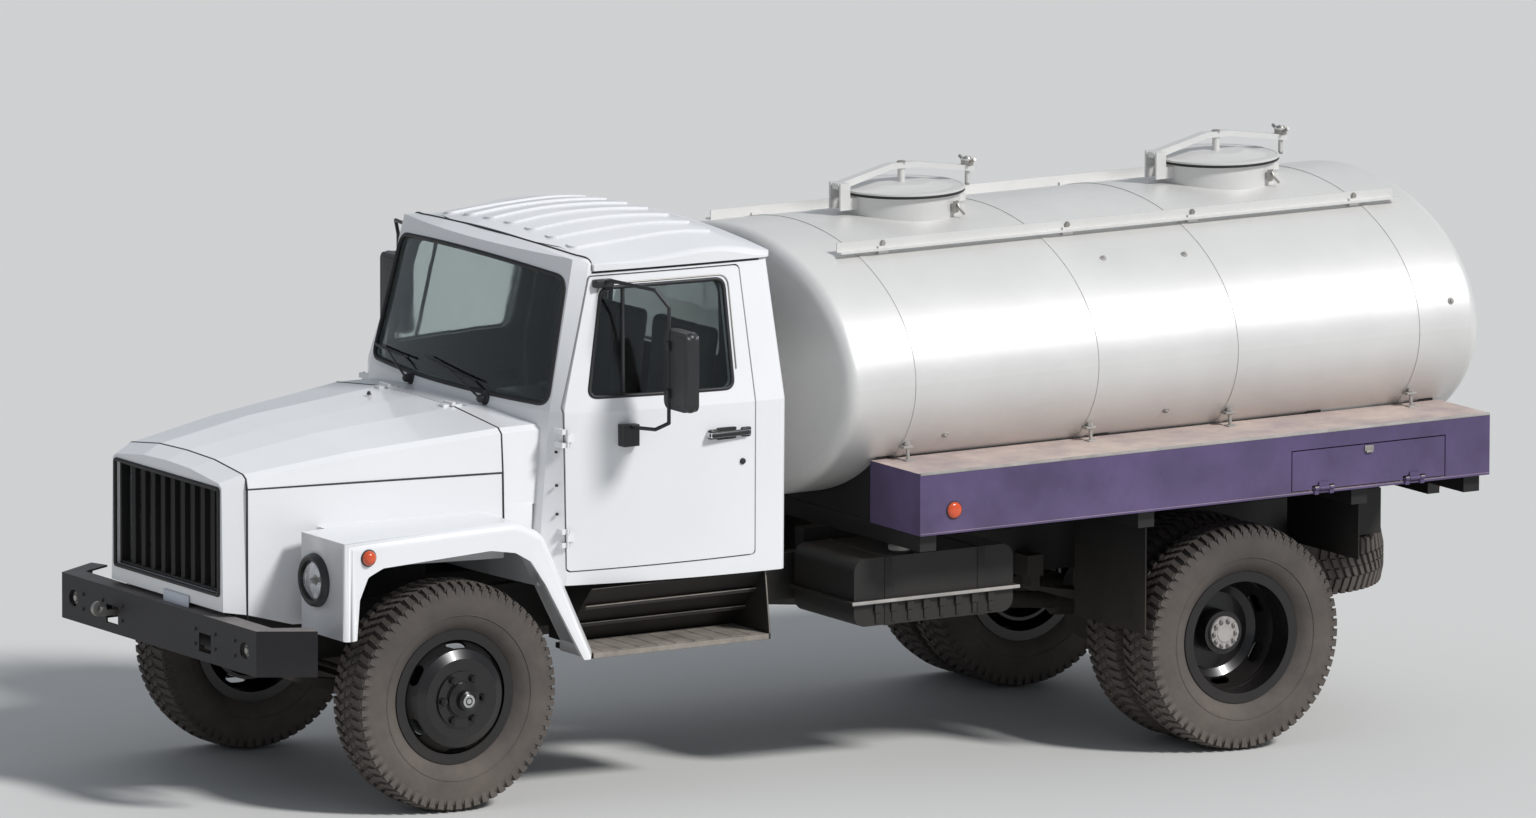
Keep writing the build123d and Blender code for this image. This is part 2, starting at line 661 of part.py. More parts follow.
front_region = side_prism(
    [(0, 800), (door_front_x + 3, 800), (door_front_x + 3, 1622), (door_top_front_x + 3, cab_gutter_z + 5),
     (0, cab_gutter_z + 5)], -1200, 1200)
side_region = side_prism(
    [(door_front_x + 3, 800), (door_front_x + 3, 1622), (door_top_front_x + 3, cab_gutter_z + 5),
     (back_split_x, cab_gutter_z + 5), (back_split_x, 800)], 300, 1200)
back_region = block(-1700, back_split_x, -1200, 1200, 800, cab_gutter_z + 5)

screen_half_low = 703
screen_half_top = 660
screen_low_z = 1626
screen_top_z = 2142
screen_radius = 60
back_window_line = [(-470, 1690), (470, 1690), (450, 2020), (-450, 2020)]
glass_skin = cab_loft(glass_depth) - cab_loft(glass_depth + glass_thickness, 20)


def screen_prism(x_low, x_high):
    """The windscreen's front view, whose top edge is arched."""
    arch = ThreePointArc((screen_half_top, screen_top_z), (0, screen_top_z + screen_rise),
                         (-screen_half_top, screen_top_z))
    low = [(-screen_half_top, screen_top_z), (-screen_half_low, screen_low_z),
           (screen_half_low, screen_low_z), (screen_half_top, screen_top_z)]
    view = Plane(origin=(x_low, 0, 0), x_dir=(0, 1, 0), z_dir=(1, 0, 0))
    face = make_face([arch] + [Line(a, b) for a, b in zip(low, low[1:])])
    face = fillet(face.vertices(), screen_radius)
    return extrude(view * face, amount=x_high - x_low)


windscreen_hole = screen_prism(-760, -300)
cowl_half = [(688, 1215), (676, 1520), (650, 1542), (300, 1578), (0, 1583)]
cowl_view = hood_face(-700, cowl_half)
cowl = extrude(cowl_view, amount=cowl_front_x + 700) - cab_outside
cowl -= front_prism([(-640, 1200), (-640, 1490), (640, 1490), (640, 1200)], cowl_front_x - 80, cowl_front_x + 5)
cab_front = (cab_shell & front_region) + head_panel - windscreen_hole
cab_front = cab_front + cowl - barrel_room + cowl_pins
windscreen = glass_skin & screen_prism(-760, -300)

side_left = (cab_shell & side_region) - side_prism(door_opening, 300, 1200, radius=20)
back_hole = front_prism(back_window_line, -1700, back_split_x, radius=60)
cab_back = (cab_shell & back_region) - back_hole
back_glass = glass_skin & front_prism(back_window_line, -1700, back_split_x, radius=60)
cab_glass = Compound(children=[windscreen, back_glass])

floor_low_z = cab_floor_z + 15
floor_top_z = floor_low_z + floor_thickness
cab_floor = cab_loft(cab_wall + seat_gap) & block(-1700, 0, -1200, 1200, floor_low_z, floor_top_z)
mount_blocks = [block(x - 45, x + 45, rail_outer_y - 60, rail_outer_y, rail_top_z + seat_gap, floor_low_z + 5)
                for x in (-700, -1400)]
for mount in mount_blocks:
    cab_floor += both_sides(mount)

door_cut = side_prism(window_line, 300, 1200, radius=40)
door_region = side_prism(door_line, 300, 1200, radius=18)
door_panel = (cab_shell & door_region) - door_cut
door_glass = glass_skin & side_prism(window_line, 300, 1200, radius=40)
handle = block(-1395, -1205, 905, 958, 1466, 1486)

# Height of each door hinge, and how far its leaves reach in y
door_hinge_z = (1080, 1500)
barrel_half = 16
ear_half = 10


def door_hinges():
    """Barrels on the door and pins with ears on the pillar, about one upright axis."""
    x, y = door_axis_x, door_axis_y
    reach = 2 * ear_half + barrel_half + 3
    on_door, on_body = [], []
    for z in door_hinge_z:
        barrel = rod((x, y, z - barrel_half), (x, y, z + barrel_half), door_hinge_radius)
        barrel += block(x - 30, x, y - 30, y - 3, z - barrel_half, z + barrel_half)
        barrel -= rod((x, y, z - 90), (x, y, z + 90), door_pin_radius + shaft_clearance)
        on_door.append(barrel - block(x - 3, x + 40, y - 60, y - door_hinge_radius, z - 90, z + 90))
        pin = rod((x, y, z - reach), (x, y, z + reach), door_pin_radius)
        for end in (-1, 1):
            middle = z + end * (barrel_half + 2 + ear_half)
            ear = rod((x, y, middle - ear_half), (x, y, middle + ear_half), door_hinge_radius)
            ear += block(x, x + 26, y - 110, y - 3, middle - ear_half, middle + ear_half)
            pin += ear - block(x - 40, x + 3, y - 60, y - door_hinge_radius, middle - 30, middle + 30)
        on_body.append(pin)
    return on_door, on_body


door_barrels, pillar_pins = door_hinges()
keep_outside = cab_loft(3)
door_left = door_panel + [part_out - keep_outside for part_out in door_barrels + [handle]]
pillar_left = [p - keep_outside for p in pillar_pins]
cab_front = cab_front + pillar_left + [mirror(p, about=Plane.XZ) for p in pillar_left]
cab_sides = Compound(children=both_sides(side_left))

# Roof: a crowned plate over the cab, hollow below, with lengthwise ribs

# Distance from the front axle, half width, shoulder height, height at the middle
roof_sections = (
    (-690, 742, 2190, 2259),
    (head_rear_x, 758, 2205, 2267),
    (-900, 768, 2208, 2284),
    (-1110, 786, 2220, 2297),
    (-1500, 800, 2217, 2271),
    (-1612, 800, 2196, 2240),
)
roof_sheet = 24
rib_count = 7
rib_pitch = 165
rib_width = 62
rib_rise = 9
rib_front_x = -790
rib_rear_x = -1480


def roof_face(row, inset):
    x, half, shoulder_z, crown_z = row
    half, shoulder_z, crown_z = half - inset, shoulder_z - inset, crown_z - inset
    base_z = cab_gutter_z - 2 * inset
    low, lip = (half, base_z), (half, base_z + 6)
    shoulder = (half - 46, shoulder_z)
    bend = (half - 16, lip[1] + 0.62 * (shoulder_z - lip[1]))
    edges = [Line((-half, base_z), low), Line(low, lip), ThreePointArc(lip, bend, shoulder),
             ThreePointArc(shoulder, (0, crown_z), (-shoulder[0], shoulder_z)),
             ThreePointArc((-shoulder[0], shoulder_z), (-bend[0], bend[1]), (-half, lip[1])),
             Line((-half, lip[1]), (-half, base_z))]
    view = Plane(origin=(x, 0, 0), x_dir=(0, 1, 0), z_dir=(1, 0, 0))
    return view * make_face(edges)


def roof_form(inset, shift=0):
    """The roof's form between its lower edge and its crown, shrunk by the inset."""
    crown = loft([roof_face(row, inset) for row in reversed(roof_sections)])
    plan = extrude(cab_face(cab_sections[2], inset - 14, cab_gutter_z - 2 * inset), amount=300, dir=(0, 0, 1))
    return Pos(0, 0, shift) * (crown & plan)


rib_middle = (rib_front_x + rib_rear_x) / 2
rib_plan = [Pos(rib_middle, rib_pitch * (i - (rib_count - 1) / 2), cab_gutter_z + 20)
            * extrude(SlotOverall(rib_front_x - rib_rear_x, rib_width), amount=200) for i in range(rib_count)]
cab_roof = roof_form(0) + [roof_form(0, rib_rise) & rib for rib in rib_plan]
cab_roof -= roof_form(roof_sheet)
# Its front edge lies on the head panel, behind a narrow groove
roof_lap = extrude(cab_face(head_top_row, head_groove, cab_gutter_z - 60), amount=400, dir=(0, 0, 1))
roof_front = block(head_rear_x - seat_gap, -500, -1000, 1000, cab_gutter_z - 60, cab_gutter_z + 300) - roof_lap
cab_roof -= roof_front
cab_roof -= head_room(head_groove)

# Mirrors, on the doors


def door_mirror():
    """The left mirror: a hoop off the door with a tall head."""
    hoop = tube_run([(-800, 716, 2120), (-815, 800, 2140), (-878, 1040, 2130), (-918, 1085, 2060),
                     (-918, 1085, 1575), (-880, 1040, 1545), (-850, 880, 1535)], 8)
    base = block(-890, -815, 838, 900, 1455, 1545)
    top_base = block(-835, -770, 700, 745, 2106, 2138)
    head = front_prism([(1045, 1635), (1235, 1635), (1235, 1968), (1045, 1968)], -972, -918, radius=34)
    return hoop + head + base + top_base


mirror_left = door_mirror() - cab_loft(-seat_gap)

# Seats and dashboard

seat_front_x = -930
seat_back_x = -1440


def seat(y_low, y_high):
    profile = [(seat_front_x, 1230), (seat_front_x, 1330), (-1330, 1300), (-1430, 1880), (-1480, 1880),
               (-1440, 1230)]
    pad = side_prism(profile, y_low, y_high, radius=22)
    base = block(-1400, -1000, y_low + 60, y_high - 60, floor_top_z, 1230)
    return pad + base


seats = Compound(children=[seat(130, 620), seat(-640, 60)])
dash_line = [(-560, 1230), (-560, 1560), (-700, 1560), (-780, 1500), (-780, 1400), (-700, 1230)]
dash_body = side_prism(dash_line, -640, 640, radius=20)
dash_body -= (cab_outside - cab_loft(cab_wall + seat_gap, 20))
wheel_centre = Vector(-925, 370, 1500)
column_low = Vector(-620, 370, 1180)
column_way = (wheel_centre - column_low).normalized()
column = rod(tuple(column_low), tuple(wheel_centre), 24)
steering_ring = Plane(origin=wheel_centre, z_dir=column_way) * (
    Torus(205, 13) + Cylinder(45, 22) + Box(400, 24, 10) + Rot(0, 0, 90) * Box(400, 24, 10))
dash_feet = [block(-640, -600, y - 20, y + 20, floor_top_z, 1235) for y in (-500, 500)]
dashboard = dash_body + column + steering_ring + dash_feet

# Steps, fuel tank and battery box

step_front_x = -635
step_rear_x = -1494
step_outer_y = 950
step_z = 612
riser_front_x = step_front_x - 25
tray = block(step_rear_x, step_front_x, 650, step_outer_y, step_z - 22, step_z)
riser = front_prism([(652, step_z), (664, step_z), (905, 872), (893, 872)], step_rear_x, riser_front_x)
ribs = [block(step_rear_x, riser_front_x, y - 4, y + 26, z - 8, z + 6) for y, z in ((740, 698), (822, 785))]
end_plate = front_prism([(652, step_z - 22), (step_outer_y, step_z - 22), (step_outer_y, step_z + 6),
                         (912, 878), (893, 878), (652, step_z + 20)], step_rear_x - 8, step_rear_x)
step_arms = [block(x - 25, x + 25, rail_outer_y, 660, step_z - 22, step_z + 60) for x in (-760, -1380)]
step_left = tray + riser + ribs + end_plate + step_arms
side_steps = Compound(children=both_sides(step_left))

fuel_front_x = -1912
fuel_length = 788
fuel_inner_y = 480
fuel_outer_y = 950
fuel_low_z = 596
fuel_height = 288
fuel_seam_z = 700
fuel_lip = 22
fuel_rib_pitch = 80
fuel_rear_x = fuel_front_x - fuel_length
fuel_top_z = fuel_low_z + fuel_height
fuel_corners = [(fuel_rear_x, fuel_low_z), (fuel_front_x, fuel_low_z), (fuel_front_x, fuel_top_z),
                (fuel_rear_x, fuel_top_z)]
fuel_tank = side_prism(fuel_corners, fuel_inner_y, fuel_outer_y, radius=55)
fuel_tank += block(fuel_rear_x - fuel_lip, fuel_front_x + fuel_lip, fuel_inner_y - 10, fuel_outer_y + fuel_lip,
                   fuel_seam_z - 6, fuel_seam_z + 6)
fuel_tank += Pos(fuel_front_x - 268, fuel_outer_y - 70, fuel_top_z + 11) * Cylinder(45, 34)
rib_total = int((fuel_length - 120) / fuel_rib_pitch)
for i in range(rib_total):
    x = fuel_front_x - fuel_length / 2 + (i - (rib_total - 1) / 2) * fuel_rib_pitch
    fuel_tank += block(x - 16, x + 16, fuel_inner_y, fuel_outer_y + 12, fuel_seam_z - 48, fuel_seam_z - 6)
for x in (fuel_front_x - 168, fuel_rear_x + 160):
    fuel_tank += block(x - 25, x + 25, rail_outer_y, fuel_inner_y + 20, 660, 800)
battery_box = block(-2350, -1750, -930, -480, 590, 880)
battery_box += block(-2365, -1735, -945, -470, 862, 892)
battery_box += [block(x - 25, x + 25, -500, -rail_outer_y, 660, 800) for x in (-1850, -2250)]

pipe_radius = 27
exhaust_y = -engine_half_width - pipe_radius - seat_gap
silencer = rod((-1640, exhaust_y, 540), (-1040, exhaust_y, 540), 85)
pipe_front = rod((-1045, exhaust_y, 540), (-200, exhaust_y, 600), pipe_radius)
pipe_rear = rod((-2900, exhaust_y, 540), (-1635, exhaust_y, 540), pipe_radius - 2)
exhaust = silencer + pipe_front + pipe_rear
for x, low in cross_list[2:4]:
    wall_x = x + member_depth / 2 - 4
    exhaust += block(wall_x - 8, wall_x + 8, exhaust_y - 25, exhaust_y + 25, 550, low - seat_gap)

# Tank


def oval(grow=0):
    return Ellipse(tank_half_width + grow, tank_half_height + grow)


def across(x):
    return Plane(origin=(x, 0, tank_z), x_dir=(0, 1, 0), z_dir=(1, 0, 0))


tank_body = extrude(across(tank_rear_x) * oval(), amount=tank_front_x - tank_rear_x)
tank_body = fillet(tank_body.edges(), head_radius)
straps = []
for x in strap_x:
    ring = oval(strap_sheet) - oval()
    straps.append(extrude(across(x - strap_width / 2) * ring, amount=strap_width))
for x in manhole_x:
    tank_body += Pos(x, 0, (neck_top_z + 2000) / 2) * Cylinder(neck_radius, neck_top_z - 2000)
neck_floor_z = 2120
for x in manhole_x:
    depth = neck_top_z - neck_floor_z
    tank_body -= Pos(x, 0, neck_floor_z + depth / 2) * Cylinder(neck_radius - neck_wall, depth)
drain_x = -4720
drain_z = 880
drain_end_x = -5120
drain_outlet_radius = 38
drain_outlet_length = 60
tank_body += rod((drain_x, 0, 1100), (drain_x, 0, drain_z), 50)
tank_body += rod((drain_x + 30, 0, drain_z), (drain_end_x + drain_outlet_length, 0, drain_z), 44)
tank_body += rod((drain_end_x + drain_outlet_length + 5, 0, drain_z), (drain_end_x, 0, drain_z),
                 drain_outlet_radius)


def lid_hinge_body(x):
    """Ears on the neck that carry the yoke's pin, and the swing bolt's lug behind."""
    pin_x = x + lid_hinge_reach
    ears = []
    for side in (-1, 1):
        ears.append(block(x + neck_radius - 12, pin_x + 14, side * 40 - 6, side * 40 + 6,
                          lid_hinge_z - 100, neck_top_z - 8))
        ears.append(block(pin_x - 35, pin_x + 14, side * 40 - 6, side * 40 + 6,
                          neck_top_z - 12, lid_hinge_z + 14))
    pin = rod((pin_x, -46, lid_hinge_z), (pin_x, 46, lid_hinge_z), 7)
    clamp = block(x - neck_radius - 60, x - neck_radius + 8, -20, 20, neck_top_z - 70, neck_top_z - 40)
    return Part() + ears + [pin, clamp]


for x in manhole_x:
    tank_body += lid_hinge_body(x)
tank_shell = Compound(children=[tank_body] + straps)


def lid(x):
    """A domed lid hung from an arched yoke."""
    pin_x = x + lid_hinge_reach
    base_z = neck_top_z + seat_gap
    plate = Pos(x, 0, base_z + lid_thickness / 2) * Cylinder(lid_radius, lid_thickness)
    dome = Pos(x, 0, base_z + lid_thickness + 8) * Cone(215, 120, 16)
    post = rod((x, 0, base_z + lid_thickness), (x, 0, 2350), 16)
    line = [(pin_x + 12, lid_hinge_z - 12), (pin_x + 12, lid_hinge_z + 12), (x + 60, 2366), (x - 60, 2366),
            (x - 350, 2322), (x - 350, 2300), (x - 60, 2342), (x + 60, 2342), (pin_x - 20, lid_hinge_z - 12)]
    yoke = side_prism(line, -22, 22)
    yoke -= rod((pin_x, -60, lid_hinge_z), (pin_x, 60, lid_hinge_z), 7 + shaft_clearance)
    bolt = rod((x - 330, 0, 2250), (x - 330, 0, 2365), 10) + Pos(x - 330, 0, 2342) * Cylinder(26, 22)
    return plate + dome + post + yoke + bolt


lids = [lid(x) for x in manhole_x]

# Cradle under the tank

flap_front_gap = 532
flap_rear_gap = 542
station_x = (-2150, -wheelbase + flap_front_gap + 3, -wheelbase - flap_rear_gap + 3, rail_rear_x + 20)
beam_top_z = 930
outrigger_top_z = box_bottom_z - seat_gap
subframe = [block(rail_rear_x + 5, -1990, side * 396 - 34, side * 396 + 34, rail_top_z, beam_top_z)
            for side in (-1, 1)]
tank_room = extrude(across(tank_rear_x - 100) * oval(seat_gap), amount=tank_front_x - tank_rear_x + 200)
for x in strap_x:
    start_x = x - strap_width / 2 - seat_gap
    tank_room += extrude(across(start_x) * oval(strap_sheet + seat_gap), amount=strap_width + 2 * seat_gap)
cradle = Part() + subframe
for x in station_x:
    saddle = front_prism([(-430, beam_top_z), (430, beam_top_z), (790, 1000), (800, 1290),
                          (-800, 1290), (-790, 1000)], x - 35, x + 35)
    cradle += saddle - tank_room
    cradle += block(x - 40, x + 40, -1150, 1150, beam_top_z, outrigger_top_z)
tank_cradle = cradle - tank_room
for side_room in both_sides(block(-5000, -2000, box_inner_y - seat_gap, 1300, outrigger_top_z, 1400)):
    tank_cradle -= side_room

rail_y = 500
rail_z = tank_z + tank_half_height * sqrt(1 - (rail_y / tank_half_width) ** 2)
top_rail_rear_x = tank_rear_x + 150
top_rail_front_x = tank_front_x - 230
top_rail = block(top_rail_rear_x, top_rail_front_x, rail_y - 3, rail_y + 3, rail_z + 14, rail_z + 58)
top_rail += block(top_rail_rear_x, top_rail_front_x, rail_y - 3, rail_y + 40, rail_z + 14, rail_z + 20)
for x in (-2330, -3250, -3880, -4700):
    top_rail += block(x - 25, x + 25, rail_y - 12, rail_y + 12, rail_z - 30, rail_z + 30)
top_rail -= tank_room
top_rails = Compound(children=both_sides(top_rail))

# Side boxes with a locker at the rear

shell = block(box_rear_x, box_front_x, box_inner_y, box_outer_y, box_bottom_z, box_top_z)
locker_wall = 25
shell -= block(locker_front_x + 60, box_front_x - box_sheet, box_inner_y + box_sheet, box_outer_y - box_sheet,
               box_bottom_z + box_sheet, box_top_z - box_sheet)
locker_room = block(locker_rear_x - 4, locker_front_x + 4, box_inner_y + box_sheet, box_outer_y + 5,
                    locker_bottom_z - 4, locker_top_z + 4)
shell -= locker_room
shell -= tank_room
locker_axis_y = box_outer_y + 4
locker_axis_z = locker_bottom_z + 6
locker_plate = block(locker_rear_x + 1, locker_front_x - 1, box_outer_y - box_sheet, box_outer_y,
                     locker_bottom_z + 1, locker_top_z - 1)
locker_hinge_x = (locker_front_x - 158, locker_rear_x + 156)
locker_barrels, box_pins, latch = [], [], []
for x in locker_hinge_x:
    here = (locker_axis_y + 4, locker_axis_z)
    barrel = rod((x - 25, *here), (x + 25, *here), 8) + block(x - 25, x + 25, box_outer_y - 6, box_outer_y + 8,
                                                             locker_axis_z, locker_axis_z + 26)
    locker_barrels.append(barrel - rod((x - 60, *here), (x + 60, *here), 4 + shaft_clearance))
    pin = rod((x - 50, *here), (x + 50, *here), 4)
    for end in (-1, 1):
        middle = x + end * 38
        pin += rod((middle - 10, *here), (middle + 10, *here), 8)
        pin += block(middle - 10, middle + 10, box_outer_y - 10, box_outer_y + 8, locker_axis_z - 26, locker_axis_z)
    box_pins.append(pin)
locker_notches = [block(x - 56, x - 24, box_outer_y - 30, box_outer_y + 1, locker_bottom_z, locker_axis_z + 12)
                  for x in locker_hinge_x]
locker_notches += [block(x + 24, x + 56, box_outer_y - 30, box_outer_y + 1, locker_bottom_z, locker_axis_z + 12)
                   for x in locker_hinge_x]
locker_left = locker_plate - locker_notches + locker_barrels
box_left = shell + box_pins
side_boxes = Compound(children=both_sides(box_left))

# Tail, mudguards and lamps

tail_front_x = rail_rear_x
tail_rear_x = tail_front_x - 60
tail_half_width = 790
tail_low_z = 862
plate_y = (-690, -170)
drain_room = rod((tail_rear_x - 60, 0, drain_z), (tail_front_x + 5, 0, drain_z), 50)
tail_bar = block(tail_rear_x, tail_front_x, -tail_half_width, tail_half_width, tail_low_z, beam_top_z - seat_gap)
tail_bar += block(tail_rear_x - 5, tail_rear_x, *plate_y, tail_low_z - 50, tail_low_z + 60)
tail_bar -= drain_room

flap_inner_y = rear_inner_y - tyre_half_width + 13
flap_outer_y = rear_outer_y + tyre_half_width + 42
flaps = []
# Middle of each flap, and its lower edge
for x, low in ((-wheelbase + flap_front_gap, 470), (-wheelbase - flap_rear_gap, 690)):
    flap = block(x - 3, x + 3, flap_inner_y, flap_outer_y, low, beam_top_z)
    flaps += both_sides(flap)
mudguards = Compound(children=flaps)


def head_lamp(y, z):
    face = Plane(origin=(wing_front_x, y, z), z_dir=(1, 0, 0))
    bezel = Pos(0, 0, 9) * Cylinder(112, 18)
    lens = Pos(0, 0, 18) * Cone(88, 40, 22, align=(Align.CENTER, Align.CENTER, Align.MIN))
    return face * (bezel + lens)


def dome_lamp(place, way, radius, depth):
    face = Plane(origin=place, z_dir=way)
    return face * Cone(radius, radius * 0.7, depth, align=(Align.CENTER, Align.CENTER, Align.MIN))


lamp_list = both_sides(head_lamp(715, 999))
lamp_list += both_sides(dome_lamp((462, wing_outer_y, 1121), (0, 1, 0), 36, 30))
lamp_list += both_sides(dome_lamp((-2252, box_outer_y, 1102), (0, 1, 0), 38, 18))
tail_lamp_y = tail_half_width - 45
tail_lamp_z = (tail_low_z + beam_top_z) / 2
lamp_list += both_sides(dome_lamp((tail_rear_x, tail_lamp_y, tail_lamp_z), (-1, 0, 0), 38, 26))
lamps = Compound(children=lamp_list)

# Standing on the ground

nodes = {
    "frame_rails": frame_rails,
    "frame_crossmembers": frame_crossmembers,
    "front_bumper": front_bumper,
    "tow_hook": tow_hook,
    "engine": engine,
    "front_panel": front_panel,
    "grille": grille,
    "front_fenders": front_fenders,
    "cab_front": cab_front,
    "cab_sides": cab_sides,
    "cab_back": cab_back,
    "cab_roof": cab_roof,
    "cab_floor": cab_floor,
    "cab_glass": cab_glass,
    "seats": seats,
    "dashboard": dashboard,
    "side_steps": side_steps,
    "fuel_tank": fuel_tank,
    "battery_box": battery_box,
    "exhaust": exhaust,
    "front_axle": front_axle,
    "rear_axle": rear_axle,
    "leaf_springs": leaf_springs,
    "spare_wheel": spare_wheel,
    "tank_shell": tank_shell,
    "tank_cradle": tank_cradle,
    "top_rails": top_rails,
    "side_boxes": side_boxes,
    "tail_bar": tail_bar,
    "mudguards": mudguards,
    "lamps": lamps,
    "hood": hood,
    "lid_front": lids[0],
    "lid_rear": lids[1],
    "knuckle_left": knuckle_left,
    "knuckle_right": knuckle_right,
    "tie_rod": tie_rod,
    "door_left": door_left,
    "door_right": mirror(door_left, about=Plane.XZ),
    "door_glass_left": door_glass,
    "door_glass_right": mirror(door_glass, about=Plane.XZ),
    "mirror_left": mirror_left,
    "mirror_right": mirror(mirror_left, about=Plane.XZ),
    "locker_left": locker_left,
    "locker_right": mirror(locker_left, about=Plane.XZ),
}
for name, shape in rims.items():
    nodes["rim_" + name] = shape
for name, shape in tyres.items():
    nodes["tyre_" + name] = shape

lift = tyre_radius - front_axle_z * cos(radians(rake))
standing = Pos(0, 0, lift) * Rot(0, rake, 0)
extremes = [standing * nodes[name] for name in ("front_bumper", "tow_hook", "tank_shell", "side_boxes")]
front_end = max(shape.bounding_box().max.X for shape in extremes)
rear_end = min(shape.bounding_box().min.X for shape in extremes)
standing = Pos(-(front_end + rear_end) / 2, 0, 0) * standing

os.makedirs("parts", exist_ok=True)
for name, shape in nodes.items():
    placed = Compound([standing * solid for solid in shape.solids()])
    export_step(placed, f"parts/{name}.step")
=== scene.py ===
import json
from math import atan2, cos, pi, radians, sin

import bpy
from mathutils import Matrix, Vector


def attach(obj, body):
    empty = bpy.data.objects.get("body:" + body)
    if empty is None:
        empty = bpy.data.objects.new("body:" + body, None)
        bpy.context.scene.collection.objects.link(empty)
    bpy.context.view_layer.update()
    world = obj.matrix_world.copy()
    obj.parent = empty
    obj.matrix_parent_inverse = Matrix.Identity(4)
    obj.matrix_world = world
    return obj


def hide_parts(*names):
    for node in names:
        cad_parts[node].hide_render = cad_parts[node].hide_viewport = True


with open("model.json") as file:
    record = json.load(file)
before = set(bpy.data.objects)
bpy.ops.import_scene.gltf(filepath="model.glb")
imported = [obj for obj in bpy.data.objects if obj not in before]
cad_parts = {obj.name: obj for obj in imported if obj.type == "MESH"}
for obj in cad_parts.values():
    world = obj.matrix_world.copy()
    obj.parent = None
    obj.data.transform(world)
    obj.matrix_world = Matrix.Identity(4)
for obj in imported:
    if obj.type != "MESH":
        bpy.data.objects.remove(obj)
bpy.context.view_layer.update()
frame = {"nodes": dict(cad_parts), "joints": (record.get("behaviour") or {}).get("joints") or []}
cad = frame["nodes"]
joints = {joint["name"]: joint for joint in frame["joints"]}

# The truck is measured level, in metres: X forward from the front axle, Y left, Z up.
# It stands nose down on its two wheel sizes, so each finished piece is turned by the rake.
wheelbase = 3.770
axle_height = 0.482
rear_axle_height = 0.395
front_axle = Vector(joints["spin_front_left"]["pos_m"])
front_axle.y = 0
rake = atan2(axle_height - rear_axle_height, wheelbase)
standing = (Matrix.Translation(front_axle) @ Matrix.Rotation(rake, 4, "Y")
            @ Matrix.Translation((0, 0, -axle_height)))

# Points nearer than this are one point
same_place = 0.00002

# The bodies that a piece and its mirror image ride on
fixed = ("chassis", "chassis")
doors = ("door_left", "door_right")
lockers = ("locker_left", "locker_right")


# Modelling helpers

def nothing_selected():
    """Leaves edit mode and deselects everything, so that an operator acts on its own piece."""
    if bpy.context.object and bpy.context.mode != "OBJECT":
        bpy.ops.object.mode_set(mode="OBJECT")
    bpy.ops.object.select_all(action="DESELECT")


def active(piece):
    """Makes the piece the only selected and the active object."""
    nothing_selected()
    piece.select_set(True)
    bpy.context.view_layer.objects.active = piece
    return piece


def slab(name, low, high, bevel=0.004, segments=2, turn=(0, 0, 0)):
    """A block between two corners with its edges rounded, turned about its middle."""
    nothing_selected()
    middle = [(a + b) / 2 for a, b in zip(low, high)]
    bpy.ops.mesh.primitive_cube_add(size=1, location=middle, scale=[b - a for a, b in zip(low, high)])
    piece = bpy.context.object
    piece.name = name
    bpy.ops.object.transform_apply(location=False, rotation=False, scale=True)
    if bevel:
        bpy.ops.object.mode_set(mode="EDIT")
        bpy.ops.mesh.bevel(offset=bevel, segments=segments, affect="EDGES")
        bpy.ops.object.mode_set(mode="OBJECT")
    piece.rotation_euler = [radians(angle) for angle in turn]
    bpy.ops.object.transform_apply(location=True, rotation=True, scale=True)
    return piece


def spun(name, profile, centre=(0, 0, 0), steps=64, axis="Y"):
    """Spins (radius, along) points round the axis through the centre."""
    nothing_selected()
    bpy.ops.mesh.primitive_plane_add(size=0.1, location=(0, 0, 0))
    piece = bpy.context.object
    piece.name = name
    bpy.ops.object.mode_set(mode="EDIT")
    bpy.ops.mesh.select_mode(type="VERT")
    bpy.ops.mesh.merge(type="CENTER")
    bpy.ops.transform.translate(value=(0, profile[0][1], profile[0][0]))
    for (radius, along), (next_radius, next_along) in zip(profile, profile[1:]):
        step = (0, next_along - along, next_radius - radius)
        bpy.ops.mesh.extrude_vertices_move(TRANSFORM_OT_translate={"value": step})
    bpy.ops.mesh.select_all(action="SELECT")
    bpy.ops.mesh.spin(steps=steps, angle=2 * pi, center=(0, 0, 0), axis=(0, 1, 0))
    bpy.ops.mesh.select_all(action="SELECT")
    bpy.ops.mesh.remove_doubles(threshold=same_place)
    bpy.ops.mesh.normals_make_consistent(inside=False)
    bpy.ops.object.mode_set(mode="OBJECT")
    if axis == "X":
        piece.rotation_euler = (0, 0, -pi / 2)
    if axis == "Z":
        piece.rotation_euler = (pi / 2, 0, 0)
    piece.location = centre
    bpy.ops.object.transform_apply(location=True, rotation=True, scale=True)
    return piece


def pipe(name, points, radius, smooth=False, closed=False, sides=3):
    """A round tube along the points."""
    nothing_selected()
    bpy.ops.curve.primitive_bezier_curve_add(location=(0, 0, 0))
    piece = bpy.context.object
    piece.name = name
    curve = piece.data
    curve.splines.clear()
    line = curve.splines.new("BEZIER" if smooth else "POLY")
    if smooth:
        line.bezier_points.add(len(points) - 1)
        for knot, place in zip(line.bezier_points, points):
            knot.co = place
            knot.handle_left_type = knot.handle_right_type = "AUTO"
    else:
        line.points.add(len(points) - 1)
        for knot, place in zip(line.points, points):
            knot.co = (*place, 1)
    line.use_cyclic_u = closed
    curve.dimensions = "3D"
    curve.bevel_depth = radius
    curve.bevel_resolution = sides
    curve.resolution_u = 8
    curve.use_fill_caps = True
    bpy.ops.object.convert(target="MESH")
    return bpy.context.object


def joined(name, pieces):
    """Makes one piece of several."""
    nothing_selected()
    for piece in pieces:
        piece.select_set(True)
    bpy.context.view_layer.objects.active = pieces[0]
    bpy.ops.object.join()
    whole = bpy.context.object
    whole.name = name
    return whole


